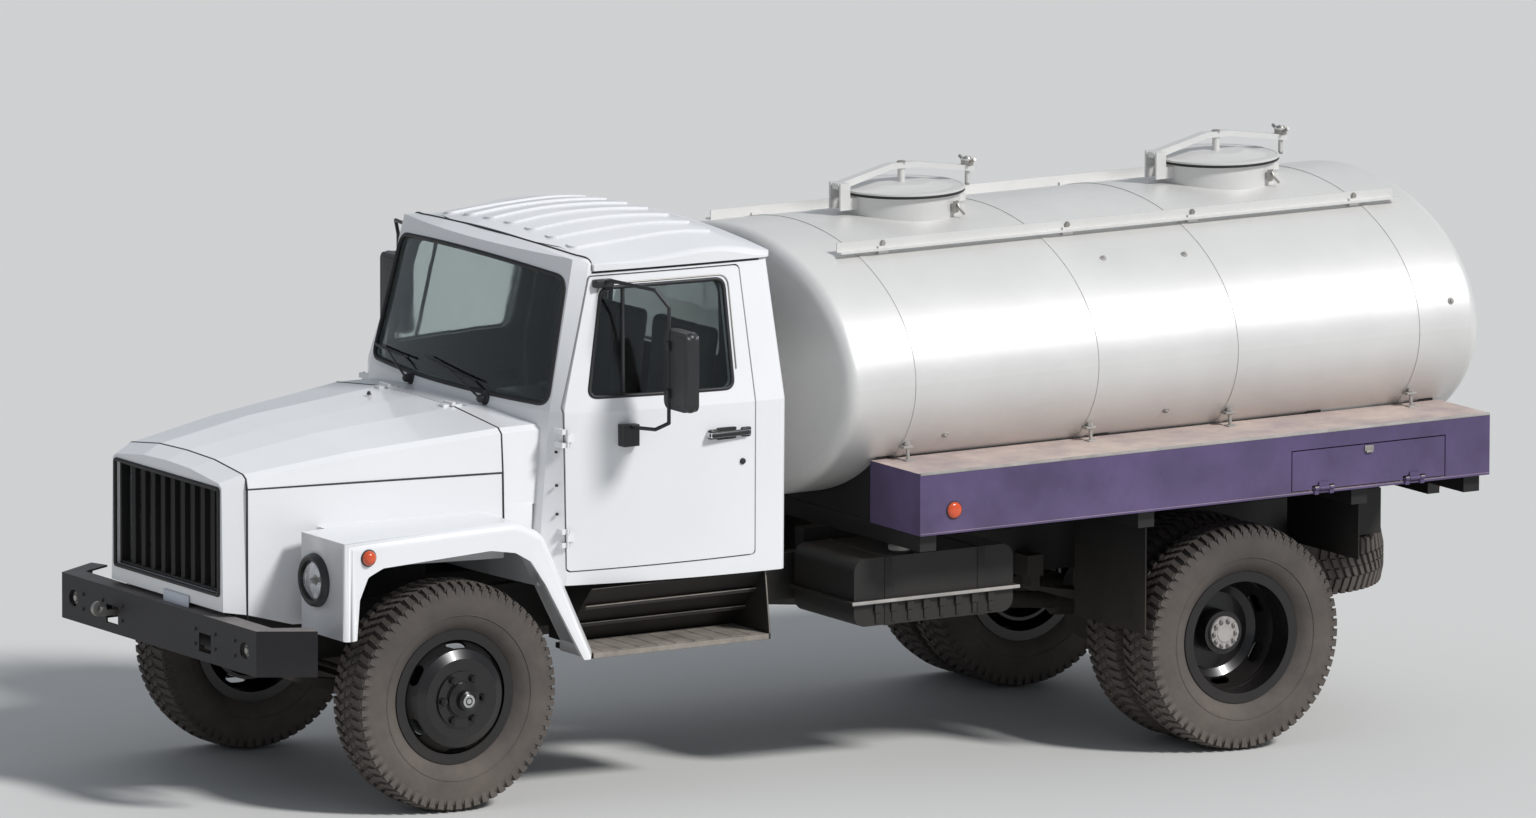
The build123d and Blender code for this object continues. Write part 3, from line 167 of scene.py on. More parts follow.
def turned_copy(piece, name, matrix):
    """A copy with its own mesh, moved by the matrix."""
    active(piece)
    bpy.ops.object.duplicate()
    copy = bpy.context.object
    copy.name = name
    copy.data.transform(matrix)
    if matrix.determinant() < 0:
        copy.data.flip_normals()
    return copy


def kept(piece, body, material, smooth=35, replaces=(), slot=None):
    """Sets a finished piece on its rake, gives it its finish and lets it ride."""
    active(piece)
    piece.data.transform(standing)
    piece.data.materials.clear()
    piece.data.materials.append(material)
    if smooth:
        bpy.ops.object.shade_smooth_by_angle(angle=radians(smooth))
    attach(piece, body)
    if replaces:
        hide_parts(*replaces)
    return piece


def each_side(piece, name, bodies, material, **choices):
    """Keeps a piece of the left side and its mirror image."""
    other = turned_copy(piece, name + "_right", Matrix.Scale(-1, 4, (0, 1, 0)))
    piece.name = name + "_left"
    return kept(piece, bodies[0], material, **choices), kept(other, bodies[1], material, **choices)


# Finishes

def add_node(tree, kind, **values):
    """A new node of the kind with these settings."""
    node = tree.nodes.new(kind)
    for key, value in values.items():
        setattr(node, key, value)
    return node


def noise(tree, place, scale, detail=4, rough=0.6):
    """Uneven patches of the given size over the object's place."""
    node = add_node(tree, "ShaderNodeTexNoise")
    node.inputs["Scale"].default_value = scale
    node.inputs["Detail"].default_value = detail
    node.inputs["Roughness"].default_value = rough
    tree.links.new(place, node.inputs["Vector"])
    return node.outputs["Fac"]


def ranged(tree, value, low, high, out_low=0.0, out_high=1.0):
    """Stretches a value from one range to another."""
    node = add_node(tree, "ShaderNodeMapRange")
    node.inputs["From Min"].default_value = low
    node.inputs["From Max"].default_value = high
    node.inputs["To Min"].default_value = out_low
    node.inputs["To Max"].default_value = out_high
    tree.links.new(value, node.inputs["Value"])
    return node.outputs["Result"]


def combined(tree, kind, first, second):
    """What one operation makes of two values, or of a value and a number."""
    node = add_node(tree, "ShaderNodeMath", operation=kind, use_clamp=True)
    for index, value in enumerate((first, second)):
        if isinstance(value, (int, float)):
            node.inputs[index].default_value = value
        else:
            tree.links.new(value, node.inputs[index])
    return node.outputs[0]


def blended(tree, factor, first, second):
    """A colour between two, each a colour or a link."""
    node = add_node(tree, "ShaderNodeMix", data_type="RGBA")
    tree.links.new(factor, node.inputs["Factor"])
    for name, value in (("A", first), ("B", second)):
        slot = [s for s in node.inputs if s.name == name and s.type == "RGBA"][0]
        if isinstance(value, tuple):
            slot.default_value = (*value, 1)
        else:
            tree.links.new(value, slot)
    return [s for s in node.outputs if s.type == "RGBA"][0]


road_dust = (0.36, 0.29, 0.22)
dust_low_edge = 0.2
dusty_roughness = 0.9


def finish(name, colour, roughness, metallic=0.0, mottle=0.06, mottle_scale=1.5, low_dust=0.0, dust_top=1.1,
           top_dust_and_light=0.0, dust=road_dust, grain=0.0, grain_scale=120, coat=0.0, specular=0.5):
    """Paint, plastic or rubber with uneven tone, dust from below, dust and painted light on what faces up,
    and a fine grain.

    low_dust fades out towards the height dust_top, and top_dust_and_light lies only on what faces up.
    """
    material = bpy.data.materials.new(name)
    material.use_nodes = True
    tree = material.node_tree
    shader = tree.nodes["Principled BSDF"]
    shader.inputs["Metallic"].default_value = metallic
    shader.inputs["Coat Weight"].default_value = coat
    shader.inputs["Specular IOR Level"].default_value = specular
    place = add_node(tree, "ShaderNodeTexCoord").outputs["Object"]
    tone = noise(tree, place, mottle_scale, 5)
    darker = tuple(value * (1 - mottle) for value in colour)
    lighter = tuple(min(1, value * (1 + mottle)) for value in colour)
    shade = blended(tree, ranged(tree, tone, 0.3, 0.7), darker, lighter)
    cloud = noise(tree, place, 3.2, 6, 0.7)
    amount = None
    if low_dust:
        parts = add_node(tree, "ShaderNodeSeparateXYZ")
        tree.links.new(place, parts.inputs[0])
        height = ranged(tree, parts.outputs["Z"], dust_low_edge, dust_top, low_dust, 0.0)
        amount = combined(tree, "MULTIPLY", height, ranged(tree, cloud, 0.3, 0.7, 0.45, 1.3))
    # What faces up is made paler: dust, and where the amount is set high, as on the bumper, also painted
    # light on the top face.
    if top_dust_and_light:
        facing = add_node(tree, "ShaderNodeNewGeometry")
        parts = add_node(tree, "ShaderNodeSeparateXYZ")
        tree.links.new(facing.outputs["Normal"], parts.inputs[0])
        upward = ranged(tree, parts.outputs["Z"], 0.55, 0.95, 0.0, top_dust_and_light)
        upward = combined(tree, "MULTIPLY", upward, ranged(tree, cloud, 0.3, 0.7, 0.6, 1.2))
        amount = combined(tree, "MAXIMUM", amount, upward) if amount else upward
    if amount:
        shade = blended(tree, amount, shade, dust)
        dull = ranged(tree, amount, 0, 1, roughness, dusty_roughness)
        tree.links.new(dull, shader.inputs["Roughness"])
    else:
        spots = noise(tree, place, 6, 5)
        gloss = ranged(tree, spots, 0.3, 0.7, roughness * 0.85, min(1, roughness * 1.15))
        tree.links.new(gloss, shader.inputs["Roughness"])
    tree.links.new(shade, shader.inputs["Base Color"])
    if grain:
        bump = add_node(tree, "ShaderNodeBump")
        bump.inputs["Strength"].default_value = grain
        bump.inputs["Distance"].default_value = 0.002
        tree.links.new(noise(tree, place, grain_scale, 3), bump.inputs["Height"])
        tree.links.new(bump.outputs["Normal"], shader.inputs["Normal"])
    return material


def clear_glass(name, colour, roughness=0.02):
    """Glass with a thin uneven film of dirt."""
    material = bpy.data.materials.new(name)
    material.use_nodes = True
    tree = material.node_tree
    shader = tree.nodes["Principled BSDF"]
    shader.inputs["Transmission Weight"].default_value = 1
    shader.inputs["IOR"].default_value = 1.45
    place = add_node(tree, "ShaderNodeTexCoord").outputs["Object"]
    film = noise(tree, place, 2.2, 4)
    smeared = ranged(tree, film, 0.4, 0.75, roughness, roughness + 0.06)
    tree.links.new(smeared, shader.inputs["Roughness"])
    dirtier = tuple(value * 0.93 for value in colour)
    tint = blended(tree, ranged(tree, film, 0.3, 0.8), colour, dirtier)
    tree.links.new(tint, shader.inputs["Base Color"])
    return material


white_paint = finish("white cab paint", (0.80, 0.80, 0.81), 0.32, mottle=0.025, low_dust=0.30, dust_top=0.95,
                     coat=0.35)
tank_paint = finish("silver tank paint", (0.72, 0.71, 0.69), 0.46, metallic=0.32, mottle=0.05,
                    mottle_scale=2.2, top_dust_and_light=0.15, dust=(0.60, 0.54, 0.49), coat=0.1)
box_purple = (0.090, 0.062, 0.150)
deck_dust = (0.60, 0.49, 0.43)
purple_paint = finish("faded purple paint", box_purple, 0.55, mottle=0.28, mottle_scale=3,
                      top_dust_and_light=0.97, dust=deck_dust, low_dust=0.10, dust_top=1.3)
locker_paint = finish("faded locker paint", box_purple, 0.55, mottle=0.28, mottle_scale=3,
                      low_dust=0.10, dust_top=1.3, dust=deck_dust)
# Black paint, made darker still as painted shade for the deep shade under the truck.
chassis_paint = finish("black chassis paint", (0.013, 0.0125, 0.0125), 0.5, mottle=0.3, low_dust=0.07,
                       dust_top=1.15, top_dust_and_light=0.11, grain=0.15, specular=0.4)
# The bumper's top is made paler: partly dust, partly painted light on its top face.
bumper_paint = finish("bumper paint with dust and painted light", (0.010, 0.0095, 0.0115), 0.40, mottle=0.2, low_dust=0.06,
                      dust_top=1.2, top_dust_and_light=0.65, dust=(0.34, 0.31, 0.30), specular=0.3)
# Dusty black iron, made darker still as painted shade under the truck.
iron = finish("dusty iron", (0.020, 0.018, 0.017), 0.7, mottle=0.3, low_dust=0.16, dust_top=0.95, grain=0.3)
rim_paint = finish("black rim paint", (0.0075, 0.007, 0.008), 0.26, mottle=0.25, low_dust=0.03, dust_top=0.9,
                   coat=0.2, specular=0.4)
sidewall_rubber = finish("dusty tyre rubber", (0.052, 0.046, 0.042), 0.8, mottle=0.2, mottle_scale=6,
                         low_dust=0.36, dust_top=1.7, dust=(0.245, 0.205, 0.178), grain=0.2, specular=0.3)
# Black rubber, made darker still as painted shade under the truck.
flap_rubber = finish("flap rubber", (0.012, 0.011, 0.011), 0.8, low_dust=0.16, dust_top=1.0, grain=0.2,
                     specular=0.3)
seal_rubber = finish("seal rubber", (0.015, 0.015, 0.016), 0.55, mottle=0.2)
black_plastic = finish("black plastic", (0.02, 0.02, 0.021), 0.42, mottle=0.2, grain=0.15)
grille_black = finish("grille black", (0.012, 0.012, 0.013), 0.5, mottle=0.2, low_dust=0.1, dust_top=1.4)
cab_lining = finish("cab lining", (0.14, 0.135, 0.13), 0.75, mottle=0.1, grain=0.2, grain_scale=260)
seat_cloth = finish("seat cloth", (0.11, 0.095, 0.085), 0.9, mottle=0.2, grain=0.5, grain_scale=420)
bright_steel = finish("bright steel", (0.62, 0.62, 0.61), 0.28, metallic=1.0, mottle=0.12)
worn_steel = finish("worn steel", (0.40, 0.38, 0.35), 0.45, metallic=0.8, mottle=0.25, grain=0.1)
reflector = finish("lamp reflector", (0.62, 0.63, 0.66), 0.22, metallic=1.0, mottle=0.03)
amber = finish("orange-red lens", (0.66, 0.085, 0.022), 0.22, mottle=0.12, coat=0.6)
red_lens = finish("red lens", (0.52, 0.02, 0.015), 0.22, mottle=0.12, coat=0.6)
blank_plate = finish("blank plate", (0.60, 0.63, 0.70), 0.5, mottle=0.08, low_dust=0.2, dust_top=1.0)
# Pale steel: dust on the hub flanges and bolts, and on the fuel tank's lip, its cap and the deck's lip also
# a painted highlight.
dust_and_highlight_steel = finish("steel with dust and painted highlights", (0.36, 0.34, 0.32), 0.7, mottle=0.25, mottle_scale=9, grain=0.2)
step_metal = finish("step metal", (0.25, 0.22, 0.19), 0.6, mottle=0.3, mottle_scale=9, grain=0.3)
headliner = finish("headliner cloth", (0.30, 0.29, 0.28), 0.95, mottle=0.08, grain=0.4, grain_scale=500)
window_glass = clear_glass("window glass", (0.72, 0.78, 0.77))
lens_glass = clear_glass("lens glass", (0.94, 0.95, 0.95), 0.05)
mirror_face = finish("mirror face", (0.88, 0.89, 0.9), 0.03, metallic=1.0, mottle=0.02)

node_finish = {
    white_paint: ("front_panel", "front_fenders", "cab_front", "cab_sides", "cab_back", "cab_roof", "hood",
                  "door_left", "door_right"),
    tank_paint: ("tank_shell", "top_rails", "lid_front", "lid_rear"),
    purple_paint: ("side_boxes",),
    locker_paint: ("locker_left", "locker_right"),
    chassis_paint: ("frame_rails", "frame_crossmembers", "fuel_tank", "battery_box", "side_steps",
                    "tank_cradle", "tail_bar", "engine"),
    bumper_paint: ("front_bumper",),
    worn_steel: ("tow_hook",),
    grille_black: ("grille",),
    iron: ("front_axle", "rear_axle", "leaf_springs", "knuckle_left", "knuckle_right", "tie_rod", "exhaust"),
    rim_paint: ("rim_front_left", "rim_front_right", "rim_rear_left", "rim_rear_right"),
    sidewall_rubber: ("tyre_front_left", "tyre_front_right", "tyre_rear_left", "tyre_rear_right",
                      "spare_wheel"),
    flap_rubber: ("mudguards",),
    window_glass: ("cab_glass", "door_glass_left", "door_glass_right"),
    cab_lining: ("cab_floor", "dashboard"),
    seat_cloth: ("seats",),
    black_plastic: ("mirror_left", "mirror_right"),
    amber: ("lamps",),
}
node_smoothing = 28
for material, names in node_finish.items():
    for name in names:
        cad[name].data.materials.clear()
        cad[name].data.materials.append(material)
        active(cad[name])
        bpy.ops.object.shade_smooth_by_angle(angle=radians(node_smoothing))

# Tyres

tyre_radius = 0.482
tread_teeth = 66
tooth_share = 0.58
shoulder_y = 0.08
shoulder_drop = 0.012

# Half of the casing's section from the bead to the middle of the tread: radius, distance from the middle
bead_line = [
    (0.254, 0.072), (0.262, 0.0745), (0.283, 0.076), (0.300, 0.094), (0.325, 0.110), (0.352, 0.1165),
    (0.380, 0.118), (0.408, 0.116), (0.432, 0.1125), (0.446, 0.108), (0.458, 0.100), (0.465, 0.088),
    (0.468, 0.060), (0.469, 0.030), (0.469, 0.0),
]


def tooth(low, high, start, end, lean):
    """One tread block across the tread from start to end, leaning along the rim."""
    half_pitch = pi / tread_teeth
    half_width = tooth_share * half_pitch * tyre_radius
    middle_y = (start + end) / 2
    block = slab("tooth", (-half_width, start, low), (half_width, end, high), bevel=0)
    for corner in block.data.vertices:
        corner.co.x += lean * (corner.co.y - middle_y)
        if corner.co.z > (low + high) / 2:
            corner.co.x *= 0.9
            if abs(corner.co.y) > shoulder_y:
                corner.co.z -= shoulder_drop
    return block


def tread_row(piece, offset):
    """Copies one block all the way round the tyre, starting a share of the pitch on."""
    turn = Matrix.Rotation(offset * 2 * pi / tread_teeth, 4, "Y")
    piece.data.transform(turn)
    active(piece)
    bpy.ops.object.mode_set(mode="EDIT")
    bpy.ops.mesh.select_all(action="SELECT")
    bpy.ops.mesh.spin(steps=tread_teeth, angle=2 * pi, center=(0, 0, 0), axis=(0, 1, 0), dupli=True)
    bpy.ops.mesh.select_all(action="SELECT")
    bpy.ops.mesh.remove_doubles(threshold=same_place)
    bpy.ops.object.mode_set(mode="OBJECT")
    return piece


def make_tyre():
    """A casing with four rows of tread blocks, ribs on its flanks and a ridge on each sidewall."""
    casing = bead_line + [(radius, -along) for radius, along in reversed(bead_line[:-1])]
    casing = casing + [(0.250, -0.060), (0.250, 0.060), casing[0]]
    pieces = [spun("casing", casing, steps=96)]
    # Foot of the block, its two edges across the tread, lean and offset
    rows = (
        (0.455, 0.046, 0.108, 0.25, 0.0),
        (0.455, -0.108, -0.046, 0.25, 0.5),
        (0.462, 0.004, 0.040, -0.5, 0.25),
        (0.462, -0.040, -0.004, -0.5, 0.75),
    )
    for foot, start, end, lean, offset in rows:
        pieces.append(tread_row(tooth(foot, tyre_radius, start, end, lean), offset))
    for side in (-1, 1):
        flank = slab("flank", (-0.0125, side * 0.104, 0.424), (0.0125, side * 0.1135, 0.466), bevel=0)
        pieces.append(tread_row(flank, 0.0 if side > 0 else 0.5))
    for side in (-1, 1):
        ridge = [(0.344, side * 0.1155), (0.347, side * 0.1185), (0.350, side * 0.1165)]
        pieces.append(spun("ridge", ridge, steps=96))
    return joined("tyre", pieces)


first_tyre = make_tyre()

# Distance of each tyre's middle from the truck's centre line
front_tyre_y = 0.809
inner_tyre_y = 0.705
outer_tyre_y = 0.985

wheel_places = (
    ("front_left", "wheel_front_left", 0.0, front_tyre_y, axle_height, "tyre_front_left"),
    ("front_right", "wheel_front_right", 0.0, -front_tyre_y, axle_height, "tyre_front_right"),
    ("rear_left", "wheels_rear_left", -wheelbase, inner_tyre_y, rear_axle_height, "tyre_rear_left"),
    ("rear_left_outer", "wheels_rear_left", -wheelbase, outer_tyre_y, rear_axle_height, "tyre_rear_left"),
    ("rear_right", "wheels_rear_right", -wheelbase, -inner_tyre_y, rear_axle_height, "tyre_rear_right"),
    ("rear_right_outer", "wheels_rear_right", -wheelbase, -outer_tyre_y, rear_axle_height,
     "tyre_rear_right"),
)
for place, body, x, y, z, node in wheel_places:
    tyre = turned_copy(first_tyre, "tread_tyre_" + place, Matrix.Translation((x, y, z)))
    kept(tyre, body, sidewall_rubber, smooth=30, replaces=(node,), slot="tyre")

# Where things are fitted on the cab

# Three plan sections of its skin, each with its height and then x, or x and y, of the nose, the corner of
# the glass, the seam of the door, the middle of the side and the rear
cab_rows = (
    (0.880, -0.440, -0.486, 0.745, -0.590, 0.812, -1.000, 0.898, -1.550, 0.942),
    (1.600, -0.480, -0.561, 0.721, -0.590, 0.790, -1.000, 0.887, -1.550, 0.947),
    (2.175, -0.622, -0.691, 0.679, -0.748, 0.720, -1.100, 0.757, -1.555, 0.783),
)


def cab_row(z):
    """The skin's plan section at a height between or beyond the three."""
    low, high = cab_rows[:2] if z < cab_rows[1][0] else cab_rows[1:]
    share = (z - low[0]) / (high[0] - low[0])
    return [a + share * (b - a) for a, b in zip(low, high)]


def on_screen(y, z, out=0.0):
    """A place on the cab's front skin, or that far in front of it."""
    height, nose_x, corner_x, corner_y = cab_row(z)[:4]
    return Vector((nose_x + (corner_x - nose_x) * (y / corner_y) ** 2 + out, y, z))


def on_door(x, z, out=0.0):
    """A place on the left side's skin, or that far outside it: a parabola through three points in plan."""
    row = cab_row(z)
    knots = ((row[4], row[5]), (row[6], row[7]), (row[8], row[9]))
    y = 0
    for here_x, here_y in knots:
        part = here_y
        for other_x, _ in knots:
            if other_x != here_x:
                part *= (x - other_x) / (here_x - other_x)
        y += part
    return Vector((x, y + out, z))


corner_steps = 6


def rounded(corners, radius, gap=0.05):
    """Points round a closed outline with its corners rounded, no further apart than the gap."""
    turns = []
    for index, corner in enumerate(corners):
        before = Vector(corners[index - 1])
        here = Vector(corner)
        after = Vector(corners[(index + 1) % len(corners)])
        start = here + (before - here).normalized() * radius
        end = here + (after - here).normalized() * radius
        shares = [step / corner_steps for step in range(corner_steps + 1)]
        turns.append([(1 - t) ** 2 * start + 2 * t * (1 - t) * here + t ** 2 * end for t in shares])
    points = []
    for index, turn in enumerate(turns):
        points += turn
        last, following = turn[-1], turns[(index + 1) % len(turns)][0]
        parts = int((following - last).length / gap) + 1
        points += [last.lerp(following, part / parts) for part in range(1, parts)]
    return points


screen_top = 2.142
screen_bottom = 1.626
screen_half_top = 0.660
screen_half_bottom = 0.703
screen_rise = 0.030
screen_arch_band = 0.06


def arched(y, z):
    """The windscreen's height with its top edge arched."""
    share = max(0.0, min(1.0, (z - screen_top + screen_arch_band) / screen_arch_band))
    return z + screen_rise * share * (1 - (y / screen_half_top) ** 2)


# Rubbers round the glass, half sunk into the skin

rubber_sink = -0.003
screen_corners = [(-screen_half_top, screen_top), (screen_half_top, screen_top),
                  (screen_half_bottom, screen_bottom), (-screen_half_bottom, screen_bottom)]
outline = rounded(screen_corners, 0.06)
path = [on_screen(y, arched(y, z), rubber_sink) for y, z in outline]
screen_rubber = pipe("screen_rubber", path, 0.0105, closed=True, sides=2)
kept(screen_rubber, "chassis", seal_rubber, smooth=60)


def back_wall_x(z):
    """The back wall's outer face, which leans back a little towards the roof."""
    return -1.586 - 0.005 * (z - 1.6) / 0.575


back_corners = [(-0.470, 1.690), (0.470, 1.690), (0.450, 2.020), (-0.450, 2.020)]
outline = rounded(back_corners, 0.06)
path = [(back_wall_x(z), y, z) for y, z in outline]
back_rubber = pipe("back_window_rubber", path, 0.010, closed=True, sides=2)
kept(back_rubber, "chassis", seal_rubber, smooth=60)

window_corners = [(-0.700, 1.660), (-0.800, 2.102), (-1.362, 2.102), (-1.338, 1.660)]
outline = rounded(window_corners, 0.04)
path = [on_door(x, z, rubber_sink) for x, z in outline]
door_rubber = pipe("door_window_rubber", path, 0.009, closed=True, sides=2)
each_side(door_rubber, "door_window_rubber", doors, seal_rubber, smooth=60)

# A bright strip follows the rear and the top of the door's window
strip_corners = [(-0.676, 1.640), (-0.786, 2.119), (-1.383, 2.119), (-1.357, 1.640)]
strip_low_end, strip_top, strip_rear_x = 1.70, 2.08, -1.2
outline = rounded(strip_corners, 0.05)
path = [on_door(x, z, 0.001) for x, z in outline
        if z > strip_low_end and (z > strip_top or x < strip_rear_x)]
strip = pipe("window_strip", path, 0.0035)
each_side(strip, "window_strip", doors, worn_steel, smooth=60)

bar_foot = on_door(-0.852, 1.664, -0.012)
bar_head = on_door(-0.903, 2.098, -0.012)
divider = pipe("vent_window_bar", [bar_foot, bar_foot.lerp(bar_head, 0.5), bar_head], 0.0085, sides=2)
each_side(divider, "vent_window_bar", doors, seal_rubber, smooth=60)

# Wipers

pivot_z = 1.604
blade_steps = 8
pivot_line = [(0.0, 0.026), (0.010, 0.025), (0.017, 0.016), (0.018, -0.020), (0.0, -0.022)]
pivot_base_line = [(0.0, 0.000), (0.024, -0.002), (0.030, -0.012), (0.030, -0.030), (0.0, -0.032)]
for name, pivot_y, start_y, end_y, start_z, end_z in (
        ("wiper_right_hand", -0.276, -0.690, -0.320, 1.683, 1.684),
        ("wiper_left_hand", 0.314, -0.180, 0.250, 1.712, 1.668)):
    shares = [step / blade_steps for step in range(blade_steps + 1)]
    along = [(start_y + (end_y - start_y) * share, start_z + (end_z - start_z) * share) for share in shares]
    blade = [on_screen(y, z, 0.010) for y, z in along]
    back = [on_screen(y, z, 0.020) for y, z in along[1:-1]]
    middle_y, middle_z = (start_y + end_y) / 2, (start_z + end_z) / 2
    pivot = on_screen(pivot_y, pivot_z, 0.012)
    elbow = on_screen((pivot_y + middle_y) / 2, (pivot_z + middle_z) / 2 + 0.012, 0.034)
    holder = on_screen(middle_y, middle_z, 0.024)
    parts = [
        pipe("blade", blade, 0.0045),
        pipe("blade_back", back, 0.0035),
        pipe("arm", [pivot + Vector((0.012, 0, 0)), elbow, holder], 0.0050, smooth=True),
        spun("pivot", pivot_line, pivot, steps=20, axis="X"),
        spun("pivot_base", pivot_base_line, pivot, steps=24, axis="X"),
    ]
    kept(joined(name, parts), "chassis", black_plastic, smooth=40)

# Door furniture

handle_z = 1.476
grip_low = (-1.398, 0.936, handle_z - 0.0125)
grip_high = (-1.204, 0.9605, handle_z + 0.0125)
handle = [slab("grip", grip_low, grip_high, bevel=0.009, segments=4)]
for x in (-1.385, -1.232):
    cup_low = (x - 0.024, on_door(x, handle_z).y - 0.004, handle_z - 0.020)
    cup_high = (x + 0.024, 0.944, handle_z + 0.020)
    handle.append(slab("cup", cup_low, cup_high, bevel=0.008, segments=3))
skin_y = on_door(-1.30, handle_z).y
recess_low = (-1.345, skin_y - 0.004, handle_z - 0.026)
recess_high = (-1.250, skin_y + 0.0035, handle_z + 0.026)
handle.append(slab("recess", recess_low, recess_high, bevel=0.003))
each_side(joined("door_handle", handle), "door_handle", doors, black_plastic, smooth=40)

lock_line = [(0.0, 0.008), (0.009, 0.008), (0.0125, 0.005), (0.014, -0.004), (0.0, -0.006)]
lock = spun("door_lock", lock_line, on_door(-1.371, 1.352), steps=24)
each_side(lock, "door_lock", doors, black_plastic)

# Mirrors: the glass faces backwards

glass = slab("mirror_glass", (-0.9760, 1.054, 1.648), (-0.9725, 1.226, 1.956), bevel=0.0012)
each_side(glass, "mirror_glass", doors, mirror_face)
shell = slab("mirror_shell", (-0.9735, 1.043, 1.633), (-0.9165, 1.2349, 1.970), bevel=0.026, segments=6)
each_side(shell, "mirror_shell", doors, black_plastic, smooth=50)
clamps = [slab("clamp", (-0.932, 1.070, z - 0.020), (-0.904, 1.100, z + 0.020), bevel=0.005)
          for z in (1.70, 1.90)]
skin_y = on_door(-0.806, 2.122).y
clamps.append(slab("clamp", (-0.850, skin_y - 0.010, 2.106), (-0.762, skin_y + 0.030, 2.140), bevel=0.006))
each_side(joined("mirror_clamps", clamps), "mirror_clamps", doors, black_plastic)

# Bolts beside the windscreen and the door, and the washer nozzle

short_bolt_line = [(0.0, 0.004), (0.005, 0.003), (0.0065, -0.004), (0.0, -0.005)]
long_bolt_line = [(0.0, 0.004), (0.005, 0.003), (0.0065, -0.006), (0.0, -0.007)]
bolts = [spun("bolt", short_bolt_line, place, steps=12)
         for place in ((-0.7220, 0.710, 2.06), (-0.7024, 0.717, 1.99))]
for z in (1.30, 1.44, 1.18):
    place = (-0.560, on_door(-0.592, z).y - 0.016, z)
    bolts.append(spun("bolt", long_bolt_line, place, steps=12))
each_side(joined("cab_bolts", bolts), "cab_bolts", fixed, iron)

nozzle_line = [(0.0, 0.012), (0.006, 0.010), (0.009, 0.000), (0.013, -0.002), (0.0, -0.006)]
nozzle = spun("washer_nozzle", nozzle_line, (-0.215, -0.155, 1.578), steps=16, axis="Z")
kept(nozzle, "hood", black_plastic)

# Lamps


def round_lamp(name, place, turn, **parts):
    """Parts about one axis, each a profile and a finish, turned about Z to face their way and placed."""
    for part, (profile, material) in parts.items():
        piece = spun(name + "_" + part, profile, steps=48)
        piece.data.transform(Matrix.Translation(place) @ Matrix.Rotation(radians(turn), 4, "Z"))
        kept(piece, "chassis", material, smooth=50, replaces=("lamps",))


# Profiles: radius, and distance outwards from the plate that carries the lamp
head_ring = [
    (0.079, 0.014), (0.084, 0.026), (0.096, 0.0295), (0.107, 0.022), (0.112, 0.004), (0.112, -0.004),
    (0.078, -0.004), (0.076, 0.006), (0.079, 0.014),
]
head_lens = [
    (0.0, 0.0365), (0.028, 0.0350), (0.050, 0.0310), (0.067, 0.0240), (0.077, 0.0160), (0.079, 0.011),
    (0.077, 0.009), (0.066, 0.0200), (0.049, 0.0270), (0.028, 0.0310), (0.0, 0.0325),
]
head_dish = [(0.078, 0.010), (0.074, 0.003), (0.062, 0.001), (0.040, 0.0008), (0.0, 0.0006)]
head_bulb = [(0.0, 0.026), (0.008, 0.025), (0.011, 0.018), (0.011, 0.002), (0.022, 0.001)]
for side, name in ((1, "head_lamp_left"), (-1, "head_lamp_right")):
    round_lamp(name, (0.562, side * 0.715, 0.999), -90, ring=(head_ring, black_plastic),
               lens=(head_lens, lens_glass), dish=(head_dish, reflector), bulb=(head_bulb, worn_steel))
turn_ring = [(0.030, 0.006), (0.036, 0.004), (0.036, -0.003), (0.0, -0.003)]
turn_lens = [(0.0, 0.029), (0.014, 0.0275), (0.024, 0.022), (0.030, 0.012), (0.0315, 0.004), (0.0, 0.003)]
marker_ring = [(0.034, 0.004), (0.038, 0.003), (0.038, -0.002), (0.0, -0.002)]
marker_lens = [(0.0, 0.0175), (0.012, 0.0170), (0.024, 0.0145), (0.033, 0.009), (0.035, 0.002), (0.0, 0.001)]
tail_ring = [(0.034, 0.008), (0.038, 0.005), (0.038, -0.002), (0.0, -0.002)]
tail_lens = [(0.0, 0.0255), (0.014, 0.0245), (0.026, 0.018), (0.033, 0.008), (0.034, 0.002), (0.0, 0.001)]
for side, word, turn in ((1, "left", 0), (-1, "right", 180)):
    round_lamp("turn_lamp_" + word, (0.462, side * 0.970, 1.121), turn,
               ring=(turn_ring, black_plastic), lens=(turn_lens, amber))
    round_lamp("side_marker_" + word, (-2.252, side * 1.190, 1.102), turn,
               ring=(marker_ring, black_plastic), lens=(marker_lens, amber))
    round_lamp("tail_lamp_" + word, (-4.960, side * 0.745, 0.89585), 90,
               ring=(tail_ring, black_plastic), lens=(tail_lens, red_lens))

# Front wings: the two creases over the wheel are rounded on a copy of the solid

# x and z at the two ends of each crease, which runs across the wing
wing_creases = (((-0.263, 1.203), (-0.2545, 1.1648)), ((-0.390, 1.140), (-0.371, 1.1214)))
crease_reach = 0.0006
crease_round = 0.062


def crease_of(place):
    """Which crease line of the wing's skin the place lies on."""
    for index, (start, end) in enumerate(wing_creases):
        line = Vector(end) - Vector(start)
        away = Vector((place.x, place.z)) - Vector(start)
        share = max(0, min(1, away.dot(line) / line.length_squared))
        if (away - share * line).length < crease_reach:
            return index
    return None


